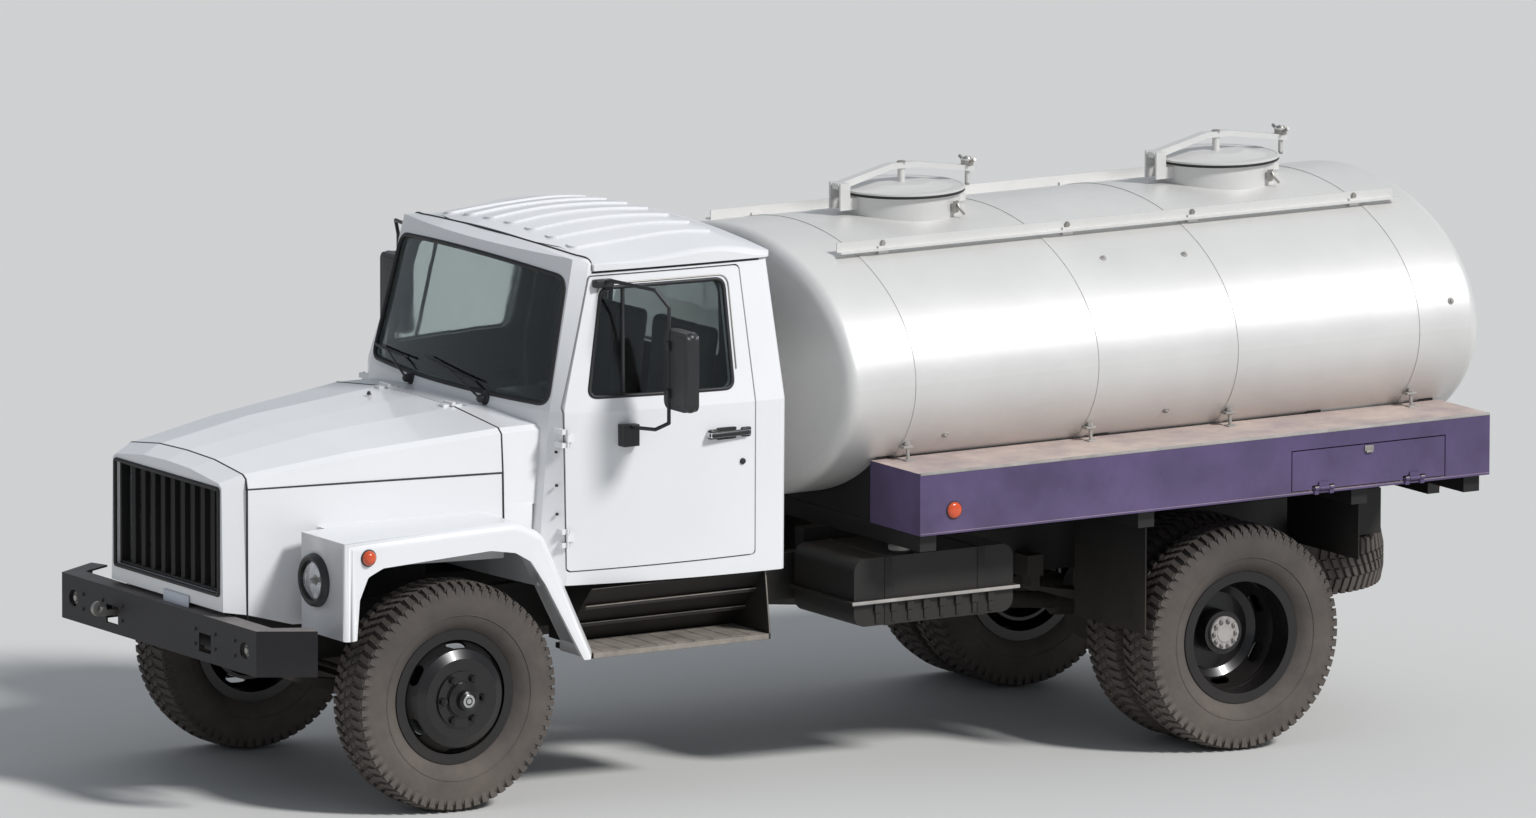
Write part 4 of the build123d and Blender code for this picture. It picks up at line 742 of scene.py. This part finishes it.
wings = turned_copy(cad["front_fenders"], "front_wings", standing.inverted())
active(wings)
bpy.ops.object.mode_set(mode="EDIT")
bpy.ops.mesh.select_all(action="SELECT")
bpy.ops.mesh.remove_doubles(threshold=same_place)
bpy.ops.mesh.dissolve_limited(angle_limit=radians(0.4))
bpy.ops.mesh.select_mode(type="EDGE")
bpy.ops.mesh.select_all(action="DESELECT")
bpy.ops.object.mode_set(mode="OBJECT")
for edge in wings.data.edges:
    ends = [crease_of(wings.data.vertices[index].co) for index in edge.vertices]
    edge.select = ends[0] is not None and ends[0] == ends[1]
bpy.ops.object.mode_set(mode="EDIT")
bpy.ops.mesh.bevel(offset=crease_round, offset_type="OFFSET", segments=6, affect="EDGES",
                   clamp_overlap=True)
bpy.ops.object.mode_set(mode="OBJECT")
kept(wings, "chassis", white_paint, smooth=28, replaces=("front_fenders",))

# Dark rubber in the seams of the cab's front, and the cowl's lower sides

seam_rubber = 0.0044


def both_halves(half):
    """A line over both sides of the truck, from its left half that starts or ends in the middle."""
    other = [(x, -y, z) for x, y, z in reversed(half)]
    return other + half[1:] if half[0][1] == 0 else half + other[1:]


roof_line = [
    (-0.7020, 0.0, 2.2530), (-0.7046, 0.14, 2.2517), (-0.7123, 0.28, 2.2477), (-0.7230, 0.40, 2.2422),
    (-0.7374, 0.52, 2.2347), (-0.7524, 0.62, 2.2270), (-0.7645, 0.655, 2.2243), (-0.7680, 0.680, 2.2212),
    (-0.7690, 0.701, 2.2125), (-0.7700, 0.713, 2.1960), (-0.7700, 0.7195, 2.1780),
]
roof_seam = pipe("roof_seam", both_halves(roof_line), seam_rubber, smooth=True)
kept(roof_seam, "chassis", seal_rubber, smooth=60)

gutter_z = 2.1675
gutter_line = [on_door(-0.765 - 0.0775 * step, gutter_z, 0.0012) for step in range(11)]
each_side(pipe("gutter_seam", gutter_line, 0.0036), "gutter_seam", fixed, seal_rubber, smooth=60)

panel_line = [
    (0.7560, 0.4885, 0.800), (0.7560, 0.4885, 1.360), (0.7550, 0.4768, 1.4015), (0.7550, 0.4514, 1.4168),
    (0.7550, 0.225, 1.4448), (0.7550, 0.0, 1.4508),
]
kept(pipe("panel_seam", both_halves(panel_line), seam_rubber), "chassis", seal_rubber, smooth=60)

hood_side_line = [(0.7540, 0.4872, 1.3588), (0.300, 0.5688, 1.3588), (-0.3560, 0.6868, 1.3588)]
hood_rear_line = [
    (-0.3590, 0.6875, 1.160), (-0.3560, 0.6868, 1.3588), (-0.3560, 0.6748, 1.5190),
    (-0.3560, 0.6492, 1.5405), (-0.3560, 0.300, 1.5766),
]
seams = [pipe("seam", hood_side_line, seam_rubber), pipe("seam", hood_rear_line, seam_rubber)]
each_side(joined("hood_seam", seams), "hood_seam", fixed, seal_rubber, smooth=60)

cowl_side = slab("cowl_side", (-0.500, 0.676, 1.060), (-0.3605, 0.6885, 1.225), bevel=0.002)
each_side(cowl_side, "cowl_side", fixed, white_paint)

# Bumper, grille and plates

insert_line = [(0.0, 0.010), (0.012, 0.010), (0.016, 0.002), (0.030, 0.000), (0.034, -0.006), (0.0, -0.008)]
inserts = [spun("insert", insert_line, (0.878, y, 0.732), steps=32, axis="X") for y in (-0.700, 0.700)]
kept(joined("bumper_inserts", inserts), "chassis", worn_steel)

bumper_bolt_line = [(0.0, 0.006), (0.007, 0.005), (0.010, -0.002), (0.0, -0.003)]
bolts = [spun("bolt", bumper_bolt_line, (0.895, y, z), steps=10, axis="X")
         for y in (-0.62, -0.46, -0.30, 0.30, 0.46, 0.62) for z in (0.700, 0.762)]
kept(joined("bumper_bolts", bolts), "chassis", bumper_paint)

grille_x = 0.8535
grille_half_width = 0.4235
grille_bottom, grille_top = 0.9155, 1.3605
outline = rounded([(-grille_half_width, grille_bottom), (grille_half_width, grille_bottom),
                   (grille_half_width, grille_top), (-grille_half_width, grille_top)], 0.012)
path = [(grille_x, y, z) for y, z in outline]
kept(pipe("grille_frame", path, 0.0085, closed=True, sides=2), "chassis", grille_black, smooth=60)

plate = slab("front_plate", (0.8555, -0.020, 0.790), (0.8595, 0.185, 0.876), bevel=0.0015)
kept(plate, "chassis", blank_plate)
plate = slab("rear_plate", (-4.9680, -0.688, 0.814), (-4.9655, -0.172, 0.920), bevel=0.001)
kept(plate, "chassis", blank_plate)

# Wheel nuts and hubs


def nut_ring(name, place, outward, count, ring_radius, nut_radius, low, high):
    """Hexagon nuts with their stud ends, round a wheel's axis."""
    nuts = []
    for index in range(count):
        angle = 2 * pi * index / count
        centre = Vector(place) + Vector((ring_radius * cos(angle), 0, ring_radius * sin(angle)))
        profile = [(0.0, high + 0.005), (nut_radius * 0.45, high + 0.004), (nut_radius * 0.5, high),
                   (nut_radius * 0.85, high), (nut_radius, high - 0.003), (nut_radius, low)]
        nut = spun("nut", [(radius, outward * along) for radius, along in profile], centre, steps=6)
        nuts.append(nut)
    return joined(name, nuts)


# Radius and distance outwards from the hub's middle
hub_cap_line = [
    (0.0, 0.2005), (0.010, 0.2000), (0.012, 0.1975), (0.026, 0.1990), (0.030, 0.1960), (0.0, 0.1900),
]
flange_line = [
    (0.0, 0.1030), (0.038, 0.1030), (0.042, 0.1000), (0.068, 0.0995), (0.0705, 0.0970), (0.0705, 0.0850),
]
rear_hub_y = (inner_tyre_y + outer_tyre_y) / 2
for side, word in ((1, "left"), (-1, "right")):
    hub = (0, side * front_tyre_y, axle_height)
    nuts = nut_ring("front_nuts_" + word, hub, side, 6, 0.096, 0.0165, 0.146, 0.164)
    kept(nuts, "wheel_front_" + word, rim_paint, smooth=20)
    cap_line = [(radius, side * along) for radius, along in hub_cap_line]
    cap = spun("hub_cap_" + word, cap_line, hub, steps=32)
    kept(cap, "wheel_front_" + word, bright_steel, smooth=40)
    hub = (-wheelbase, side * rear_hub_y, rear_axle_height)
    flange = spun("flange", [(radius, side * along) for radius, along in flange_line], hub, steps=40)
    nuts = nut_ring("nuts", hub, side, 10, 0.054, 0.0115, 0.098, 0.1105)
    kept(joined("axle_flange_" + word, [flange, nuts]), "wheels_rear_" + word, dust_and_highlight_steel, smooth=25)

# Spare wheel, lying under the tail with its dish down

spare_centre = Matrix.Translation((-4.625, 0, 0.515))
spare_tyre = turned_copy(first_tyre, "spare_tyre", spare_centre @ Matrix.Rotation(radians(90), 4, "X"))
kept(spare_tyre, "chassis", sidewall_rubber, smooth=30, replaces=("spare_wheel",))
# Section of the rim and its dish: radius, distance from the middle
spare_line = [
    (0.281, 0.083), (0.2815, 0.079), (0.2540, 0.0753), (0.2540, -0.0753), (0.2815, -0.079), (0.281, -0.083),
    (0.2400, -0.083), (0.2400, -0.034), (0.198, -0.108), (0.164, -0.127), (0.040, -0.127), (0.040, -0.137),
    (0.168, -0.137), (0.205, -0.118), (0.2397, -0.050), (0.2397, 0.083), (0.281, 0.083),
]
spare_rim = spun("spare_rim", spare_line, steps=64)
spare_rim.data.transform(spare_centre @ Matrix.Rotation(radians(-90), 4, "X"))
kept(spare_rim, "chassis", rim_paint, smooth=30, replaces=("spare_wheel",))
bpy.data.objects.remove(first_tyre)

# Manhole lids: gasket, rim, middle bolt, and the wing nut at the end of the yoke

manholes = (("front", -2.742), ("rear", -4.330))
yoke_reach = 0.330

# Radius and height, round the manhole's axis
gasket_line = [(0.2675, 2.2480), (0.2700, 2.2500), (0.2705, 2.2560), (0.2690, 2.2590), (0.2660, 2.2590)]
lid_rim_line = [(0.2670, 2.2600), (0.2712, 2.2605), (0.2712, 2.2680), (0.2640, 2.2705), (0.2560, 2.2690)]
lid_bolt_line = [
    (0.0, 2.3725), (0.014, 2.3720), (0.0190, 2.3700), (0.0190, 2.3660), (0.0240, 2.3655), (0.0240, 2.3600),
]
collar_line = [(0.0168, 2.2790), (0.026, 2.2780), (0.030, 2.2700)]
wing_nut_line = [(0.0115, 2.3600), (0.016, 2.3600), (0.022, 2.3500), (0.027, 2.3470), (0.027, 2.3260)]

for name, x in manholes:
    body = "lid_" + name
    middle = (x, 0, 0)
    gasket = spun("gasket_" + name, gasket_line, middle, steps=96, axis="Z")
    kept(gasket, body, seal_rubber, smooth=50)
    lid_rim = spun("lid_rim_" + name, lid_rim_line, middle, steps=96, axis="Z")
    kept(lid_rim, body, tank_paint, smooth=50)
    bolt = [
        spun("bolt", lid_bolt_line, middle, steps=6, axis="Z"),
        spun("collar", collar_line, middle, steps=32, axis="Z"),
    ]
    kept(joined("lid_bolt_" + name, bolt), body, worn_steel, smooth=30)
    nut_x = x - yoke_reach
    ear = [(nut_x, -0.060, 2.3570), (nut_x, -0.022, 2.3420), (nut_x, 0.022, 2.3420), (nut_x, 0.060, 2.3570)]
    wing_nut = [
        spun("nut", wing_nut_line, (nut_x, 0, 0), steps=24, axis="Z"),
        pipe("ear", ear, 0.0075, smooth=True),
        pipe("stem", [(nut_x, 0, 2.240), (nut_x, 0, 2.3645)], 0.0102),
    ]
    kept(joined("wing_nut_" + name, wing_nut), body, worn_steel, smooth=40)
    lever = [(x - 0.124, 0.246, 2.212), (x - 0.128, 0.256, 2.194), (x - 0.150, 0.262, 2.166)]
    latch = [
        slab("plate", (x - 0.140, 0.232, 2.172), (x - 0.104, 0.244, 2.222), bevel=0.003, turn=(0, 0, 28)),
        pipe("lever", lever, 0.006, smooth=True),
    ]
    kept(joined("neck_latch_" + name, latch), "chassis", worn_steel, smooth=40)

# Bolts of the tank: at the straps' feet, along the top rails, and studs on its skin

strap_bolts = []
for x in (-2.220, -3.130, -3.830, -4.750):
    strap_bolts += [
        pipe("bolt", [(x, 0.885, 1.262), (x, 0.872, 1.345)], 0.0075),
        slab("lug", (x - 0.024, 0.842, 1.318), (x + 0.024, 0.888, 1.330), bevel=0.003),
        spun("nut", [(0.0, 0.016), (0.012, 0.015), (0.014, 0.0), (0.0, 0.0)], (x, 0.873, 1.332), steps=6,
             axis="Z"),
        slab("foot", (x - 0.022, 0.868, 1.266), (x + 0.022, 0.905, 1.274), bevel=0.002),
    ]
each_side(joined("strap_bolts", strap_bolts), "strap_bolts", fixed, dust_and_highlight_steel, smooth=30)

rail_bolt_line = [(0.0, 0.010), (0.010, 0.008), (0.014, 0.0), (0.0, 0.0)]
bolts = [spun("bolt", rail_bolt_line, (x, 0.5045, 2.1255), steps=12) for x in (-2.33, -3.25, -3.88, -4.70)]
each_side(joined("rail_bolts", bolts), "rail_bolts", fixed, worn_steel, smooth=40)

tank_half_width = 0.968
tank_half_height = 0.568
tank_height = 1.600
stud_line = [(0.0, 0.013), (0.006, 0.0125), (0.008, 0.005), (0.014, 0.004), (0.016, -0.004), (0.0, -0.004)]

# Each stud's x, and its angle round the tank's oval from straight left
stud_places = ((-3.315, 45), (-3.707, 43), (-4.904, 12), (-2.404, -25), (-3.505, -24.5))
studs = []
for x, angle in stud_places:
    turn = radians(angle)
    place = (x, tank_half_width * cos(turn), tank_height + tank_half_height * sin(turn))
    tilt = atan2(sin(turn) / tank_half_height, cos(turn) / tank_half_width)
    stud = spun("stud", stud_line, steps=16)
    stud.data.transform(Matrix.Translation(place) @ Matrix.Rotation(tilt, 4, "X"))
    studs.append(stud)
each_side(joined("tank_studs", studs), "tank_studs", fixed, dust_and_highlight_steel, smooth=40)

# Side boxes: folded top edge, hem and the locker's latch

box_rear_x = -4.944
box_front_x = -2.086
box_edge_y = 1.1925
# The folded top edge is a pale strip: dust, and a painted highlight along the edge.
lip = slab("deck_lip", (box_rear_x, 1.1785, 1.2600), (box_front_x, box_edge_y, 1.2712), bevel=0.0025)
each_side(lip, "deck_lip", fixed, dust_and_highlight_steel)
hem = slab("deck_hem", (box_rear_x, 1.1800, 1.0035), (box_front_x, box_edge_y, 1.0135), bevel=0.0025)
each_side(hem, "deck_hem", fixed, purple_paint)
latch = [
    slab("latch", (-4.352, 1.1890, 1.1620), (-4.306, 1.1960, 1.1860), bevel=0.002),
    slab("bow", (-4.346, 1.1930, 1.1560), (-4.312, 1.2010, 1.1640), bevel=0.002),
]
each_side(joined("locker_latch", latch), "locker_latch", lockers, worn_steel)

# Fuel tank: bands, the pale strip along its side, dust and the lip's painted highlight, ribs on its lower
# half, filler cap

bands = [slab("band", (x - 0.019, 0.476, 0.5925), (x + 0.019, 0.9535, 0.8875), bevel=0.004)
         for x in (-2.080, -2.540)]
kept(joined("fuel_tank_bands", bands), "chassis", chassis_paint)

# The pale strip on the lip between the tank's halves is dust and a painted highlight.
edge = slab("fuel_tank_edge", (-2.722, 0.9640, 0.6930), (-1.890, 0.9735, 0.7075), bevel=0.003, segments=3)
kept(edge, "chassis", dust_and_highlight_steel)

rib_count = 8
rib_pitch = 0.080
rib_half_width = 0.011
ribs = []
for step in range(rib_count):
    x = -2.306 + (step - (rib_count - 1) / 2) * rib_pitch
    ribs.append(slab("rib", (x - rib_half_width, 0.940, 0.606), (x + rib_half_width, 0.9570, 0.656),
                     bevel=0.004))
kept(joined("fuel_tank_ribs", ribs), "chassis", chassis_paint)

# The cap's pale colour is a painted highlight.
cap_line = [(0.0, 0.928), (0.020, 0.9275), (0.040, 0.922), (0.047, 0.914), (0.047, 0.896), (0.0, 0.895)]
cap = [
    spun("cap", cap_line, (-2.180, 0.880, 0), steps=36, axis="Z"),
    slab("grip", (-2.212, 0.874, 0.920), (-2.148, 0.886, 0.938), bevel=0.004),
]
kept(joined("fuel_cap", cap), "chassis", dust_and_highlight_steel, smooth=40)

# Side steps: a ribbed plate on the lowest step, pale strips painted as highlights along the riser's beads
# and the tray's edge, and a thin brace at the rear

plate_ribs = 9
plate_pitch = 0.090
treads = [slab("tread", (-1.488, 0.672, 0.6115), (-0.640, 0.951, 0.6135), bevel=0)]
for step in range(plate_ribs):
    x = -1.470 + step * plate_pitch
    treads.append(slab("rib", (x, 0.700, 0.6130), (x + 0.060, 0.935, 0.6155), bevel=0.001, segments=1))
# Pale strips along the riser's two beads, and below them the tray's outer edge, are painted highlights.
for y, z in ((0.7625, 0.7015), (0.8445, 0.7885)):
    treads.append(slab("edge", (-1.492, y, z), (-0.664, y + 0.0047, z + 0.0037), bevel=0))
treads.append(slab("edge", (-1.492, 0.9470, 0.5905), (-0.636, 0.9515, 0.6135), bevel=0.001, segments=1))
treads.append(pipe("brace", [(-1.498, 0.9485, 0.614), (-1.498, 0.9115, 0.874)], 0.0035))
each_side(joined("step_treads", treads), "step_treads", fixed, step_metal)

# Brake chambers of the rear axle, each with its push rod and its hose

chamber_line = [
    (0.0, 0.055), (0.040, 0.052), (0.072, 0.030), (0.076, 0.004), (0.082, 0.000), (0.082, -0.010),
    (0.076, -0.014), (0.070, -0.045), (0.0, -0.055),
]
chamber_x = -wheelbase + 0.205
chamber_z = 0.455
chambers = []
for y, outward in ((-0.300, -1), (0.300, 1)):
    rod = [(-3.70, y, chamber_z), (-3.62, y, chamber_z)]
    hose = [(-3.515, y, 0.470), (-3.44, y, 0.520), (-3.42, y + outward * 0.030, 0.600),
            (-3.44, y + outward * 0.080, 0.652)]
    chambers += [
        spun("chamber", chamber_line, (chamber_x, y, chamber_z), steps=32, axis="X"),
        pipe("rod", rod, 0.010),
        pipe("hose", hose, 0.008, smooth=True),
    ]
kept(joined("brake_chambers", chambers), "chassis", iron, smooth=40)

# Drain at the tail: the ring on its outlet and the valve's lever

ring_line = [(0.050, -5.062), (0.054, -5.066), (0.054, -5.088), (0.050, -5.092), (0.038, -5.092)]
lever = [(-5.000, 0.0, 0.920), (-5.000, 0.0, 0.955), (-5.006, 0.045, 0.968), (-5.012, 0.100, 0.970)]
drain = [
    spun("ring", ring_line, (0, 0, 0.880), steps=32, axis="X"),
    pipe("lever", lever, 0.008, smooth=True),
]
kept(joined("drain_fittings", drain), "chassis", worn_steel, smooth=40)

# Seats: padded cushions on a plain base

channel_reach = 0.03
channel_depth = 0.010
filling_pressure = 4
filling_frames = 20


def cushion(name, low, high, lean=0.0, swell=0.014, channels=()):
    """A sewn cushion, swollen by cloth simulation and drawn in along its channels.

    lean shifts it back with its height, swell is the most that a point moves, and channels are y values.
    """
    scene = bpy.context.scene
    piece = slab(name, low, high, bevel=0.024, segments=4)
    for corner in piece.data.vertices:
        corner.co.x += lean * (corner.co.z - low[2])
    active(piece)
    remesh = piece.modifiers.new("even", "REMESH")
    remesh.mode = "VOXEL"
    remesh.voxel_size = 0.008
    bpy.ops.object.modifier_apply(modifier=remesh.name)
    places = [corner.co.copy() for corner in piece.data.vertices]
    cloth = piece.modifiers.new("filling", "CLOTH")
    cloth.settings.use_pressure = True
    cloth.settings.uniform_pressure_force = filling_pressure
    cloth.settings.effector_weights.gravity = 0
    for number in range(1, filling_frames + 1):
        scene.frame_set(number)
    bpy.ops.object.modifier_apply(modifier=cloth.name)
    for corner, place in zip(piece.data.vertices, places):
        step = corner.co - place
        if step.length > swell:
            corner.co = place + step.normalized() * swell
    scene.frame_set(1)
    for corner in piece.data.vertices:
        for channel in channels:
            apart = abs(corner.co.y - channel)
            if apart < channel_reach:
                inward = channel_depth * (1 - apart / channel_reach) ** 2
                middle_z = (low[2] + high[2]) / 2
                middle_x = (low[0] + high[0]) / 2 + lean * (corner.co.z - low[2])
                if lean:
                    corner.co.x -= inward * (1 if corner.co.x > middle_x else -1)
                else:
                    corner.co.z -= inward * (1 if corner.co.z > middle_z else -1)
    fine = piece.modifiers.new("fine", "SUBSURF")
    fine.levels = fine.render_levels = 1
    bpy.ops.object.modifier_apply(modifier=fine.name)
    kept(piece, "chassis", seat_cloth, smooth=80, replaces=("seats",))


# Each seat's two sides and the number of panels that its channels part
seat_rows = (("driver", 0.130, 0.620, 3), ("bench", -0.640, 0.060, 4))
seam_room = 0.012
for name, y_low, y_high, panels in seat_rows:
    pitch = (y_high - y_low) / panels
    channels = [y_low + pitch * step for step in range(1, panels)]
    cushion(name + "_cushion", (-1.340, y_low + seam_room, 1.238), (-0.944, y_high - seam_room, 1.316),
            channels=channels)
    cushion(name + "_back", (-1.414, y_low + seam_room, 1.316), (-1.352, y_high - seam_room, 1.866),
            lean=-0.105, swell=0.012, channels=channels)
    base = [
        slab("box", (-1.400, y_low + 0.060, 0.936), (-1.000, y_high - 0.060, 1.190), bevel=0.010,
             segments=3),
        slab("pan", (-1.400, y_low + 0.030, 1.186), (-0.960, y_high - 0.030, 1.236), bevel=0.012,
             segments=3),
    ]
    kept(joined(name + "_seat_base", base), "chassis", cab_lining, replaces=("seats",))

lining = slab("roof_lining", (-1.520, -0.655, 2.1480), (-0.800, 0.655, 2.1560), bevel=0.003)
kept(lining, "chassis", headliner)

# The cab's inner faces have the grey lining


def line_inside(name, test):
    """Gives the lining to the faces of a cab node whose place and way pass the test."""
    mesh = cad[name].data
    mesh.materials.append(cab_lining)
    for face in mesh.polygons:
        if test(face.center, face.normal):
            face.material_index = 1


def looks_inwards(place, way):
    """True for a face of a side wall that looks towards the middle of the cab."""
    return place.y * way.y < 0 and abs(way.y) > 0.5


cowl_rear_x = front_axle.x - 0.45
for name in ("cab_sides", "door_left", "door_right"):
    line_inside(name, looks_inwards)
line_inside("cab_back", lambda place, way: way.x > 0.5 or looks_inwards(place, way))
line_inside("cab_front", lambda place, way: way.x < -0.5 and place.x < cowl_rear_x)
line_inside("cab_roof", lambda place, way: way.z < -0.3)

# Inside the cab

dash = [
    slab("binnacle", (-0.800, 0.200, 1.548), (-0.600, 0.540, 1.622), bevel=0.022, segments=4),
    slab("glove_lid", (-0.784, -0.560, 1.412), (-0.776, -0.240, 1.492), bevel=0.006),
    slab("radio_blank", (-0.786, -0.080, 1.420), (-0.776, 0.100, 1.480), bevel=0.004),
]
kept(joined("dash_details", dash), "chassis", black_plastic, smooth=40)

dial_line = [(0.0, 0.0), (0.026, 0.0), (0.030, 0.004), (0.033, 0.0), (0.033, -0.006)]
dials = [spun("dial", dial_line, (-0.801, y, 1.585), steps=24, axis="X") for y in (0.290, 0.370, 0.450)]
kept(joined("dials", dials), "chassis", worn_steel, smooth=40)

lever_line = [(-0.800, 0.080, 0.936), (-0.840, 0.085, 1.10), (-0.900, 0.100, 1.26), (-0.910, 0.102, 1.32)]
knob_line = [(0.0, 0.030), (0.016, 0.024), (0.022, 0.008), (0.018, -0.012), (0.010, -0.022), (0.0, -0.022)]
lever = [
    pipe("lever", lever_line, 0.009, smooth=True),
    spun("knob", knob_line, (-0.912, 0.102, 1.330), steps=24, axis="Z"),
]
kept(joined("gear_lever", lever), "chassis", black_plastic, smooth=50)

# Inside of the doors: a pull, a window crank and a release

door_wall = 0.040
# x, z and how far each point of the pull stands out from the wall
pull_points = (
    (-0.985, 1.335, -0.004), (-0.990, 1.345, 0.030), (-1.030, 1.365, 0.046), (-1.180, 1.395, 0.046),
    (-1.220, 1.405, 0.030), (-1.225, 1.412, -0.004),
)
pull_line = [on_door(x, z, -door_wall - inward) for x, z, inward in pull_points]
crank = on_door(-0.900, 1.270, -door_wall)
crank_steps = ((0, -0.014, 0), (-0.040, -0.030, -0.050), (-0.062, -0.032, -0.092))
crank_line = [crank + Vector(step) for step in crank_steps]
crank_base_line = [(0.0, -0.016), (0.018, -0.014), (0.026, 0.002), (0.0, 0.002)]
crank_knob_line = [(0.0, -0.044), (0.010, -0.042), (0.014, -0.024), (0.011, -0.002), (0.0, 0.0)]
release_y = on_door(-1.330, 1.455, -door_wall).y
fittings = [
    pipe("pull", pull_line, 0.010, smooth=True),
    spun("crank_base", crank_base_line, crank, steps=28),
    pipe("crank_arm", crank_line, 0.006, smooth=True),
    spun("crank_knob", crank_knob_line, crank + Vector((-0.062, -0.026, -0.092)), steps=20),
    slab("release_cup", (-1.380, release_y - 0.006, 1.430), (-1.285, release_y + 0.004, 1.480),
         bevel=0.003),
    slab("release", (-1.365, release_y - 0.020, 1.446), (-1.300, release_y - 0.008, 1.462), bevel=0.004,
         segments=3),
]
each_side(joined("door_fittings", fittings), "door_fittings", doors, black_plastic, smooth=45)

# Camera: a long lens from afar, at the left front, a little above the truck

camera_place = Vector((43.28961, 71.85551, 14.70339))
camera_turn = (80.7922981, -1.2556578, 147.9464634)
bpy.ops.object.camera_add()
camera = bpy.context.object
camera.name = "photo_camera"
camera.location = front_axle + camera_place
camera.rotation_euler = [radians(angle) for angle in camera_turn]
camera.data.lens = 479.078
camera.data.sensor_width = 36
camera.data.clip_end = 400
bpy.context.scene.camera = camera

# Light: strength, spread in degrees, and the way that each lamp shines from

lamps = (
    ("key", 2.85, 10, (-0.35, 0.75, 0.75)),
    ("fill", 0.06, 60, (0.95, 0.45, 0.55)),
    ("back", 0.28, 60, (-0.8, -0.7, 0.8)),
)
for name, strength, spread, direction in lamps:
    bpy.ops.object.light_add(type="SUN", location=(0, 0, 10))
    lamp = bpy.context.object
    lamp.name = name
    lamp.data.energy = strength
    lamp.data.angle = radians(spread)
    lamp.rotation_euler = Vector(direction).to_track_quat("Z", "Y").to_euler()

world = bpy.data.worlds.new("studio")
bpy.context.scene.world = world
world.use_nodes = True
sky = world.node_tree.nodes["Background"]
sky.inputs["Color"].default_value = (0.80, 0.89, 1.0, 1)
sky.inputs["Strength"].default_value = 0.34
bpy.context.scene.view_settings.view_transform = "Standard"

# Floor

floor_size = 600
bpy.ops.mesh.primitive_plane_add(size=floor_size, location=(0, 0, 0))
floor = bpy.context.object
floor.name = "floor"
floor_finish = bpy.data.materials.new("floor")
floor_finish.use_nodes = True
floor_shader = floor_finish.node_tree.nodes["Principled BSDF"]
floor_shader.inputs["Base Color"].default_value = (0.66, 0.65, 0.63, 1)
floor_shader.inputs["Roughness"].default_value = 0.9
floor.data.materials.append(floor_finish)
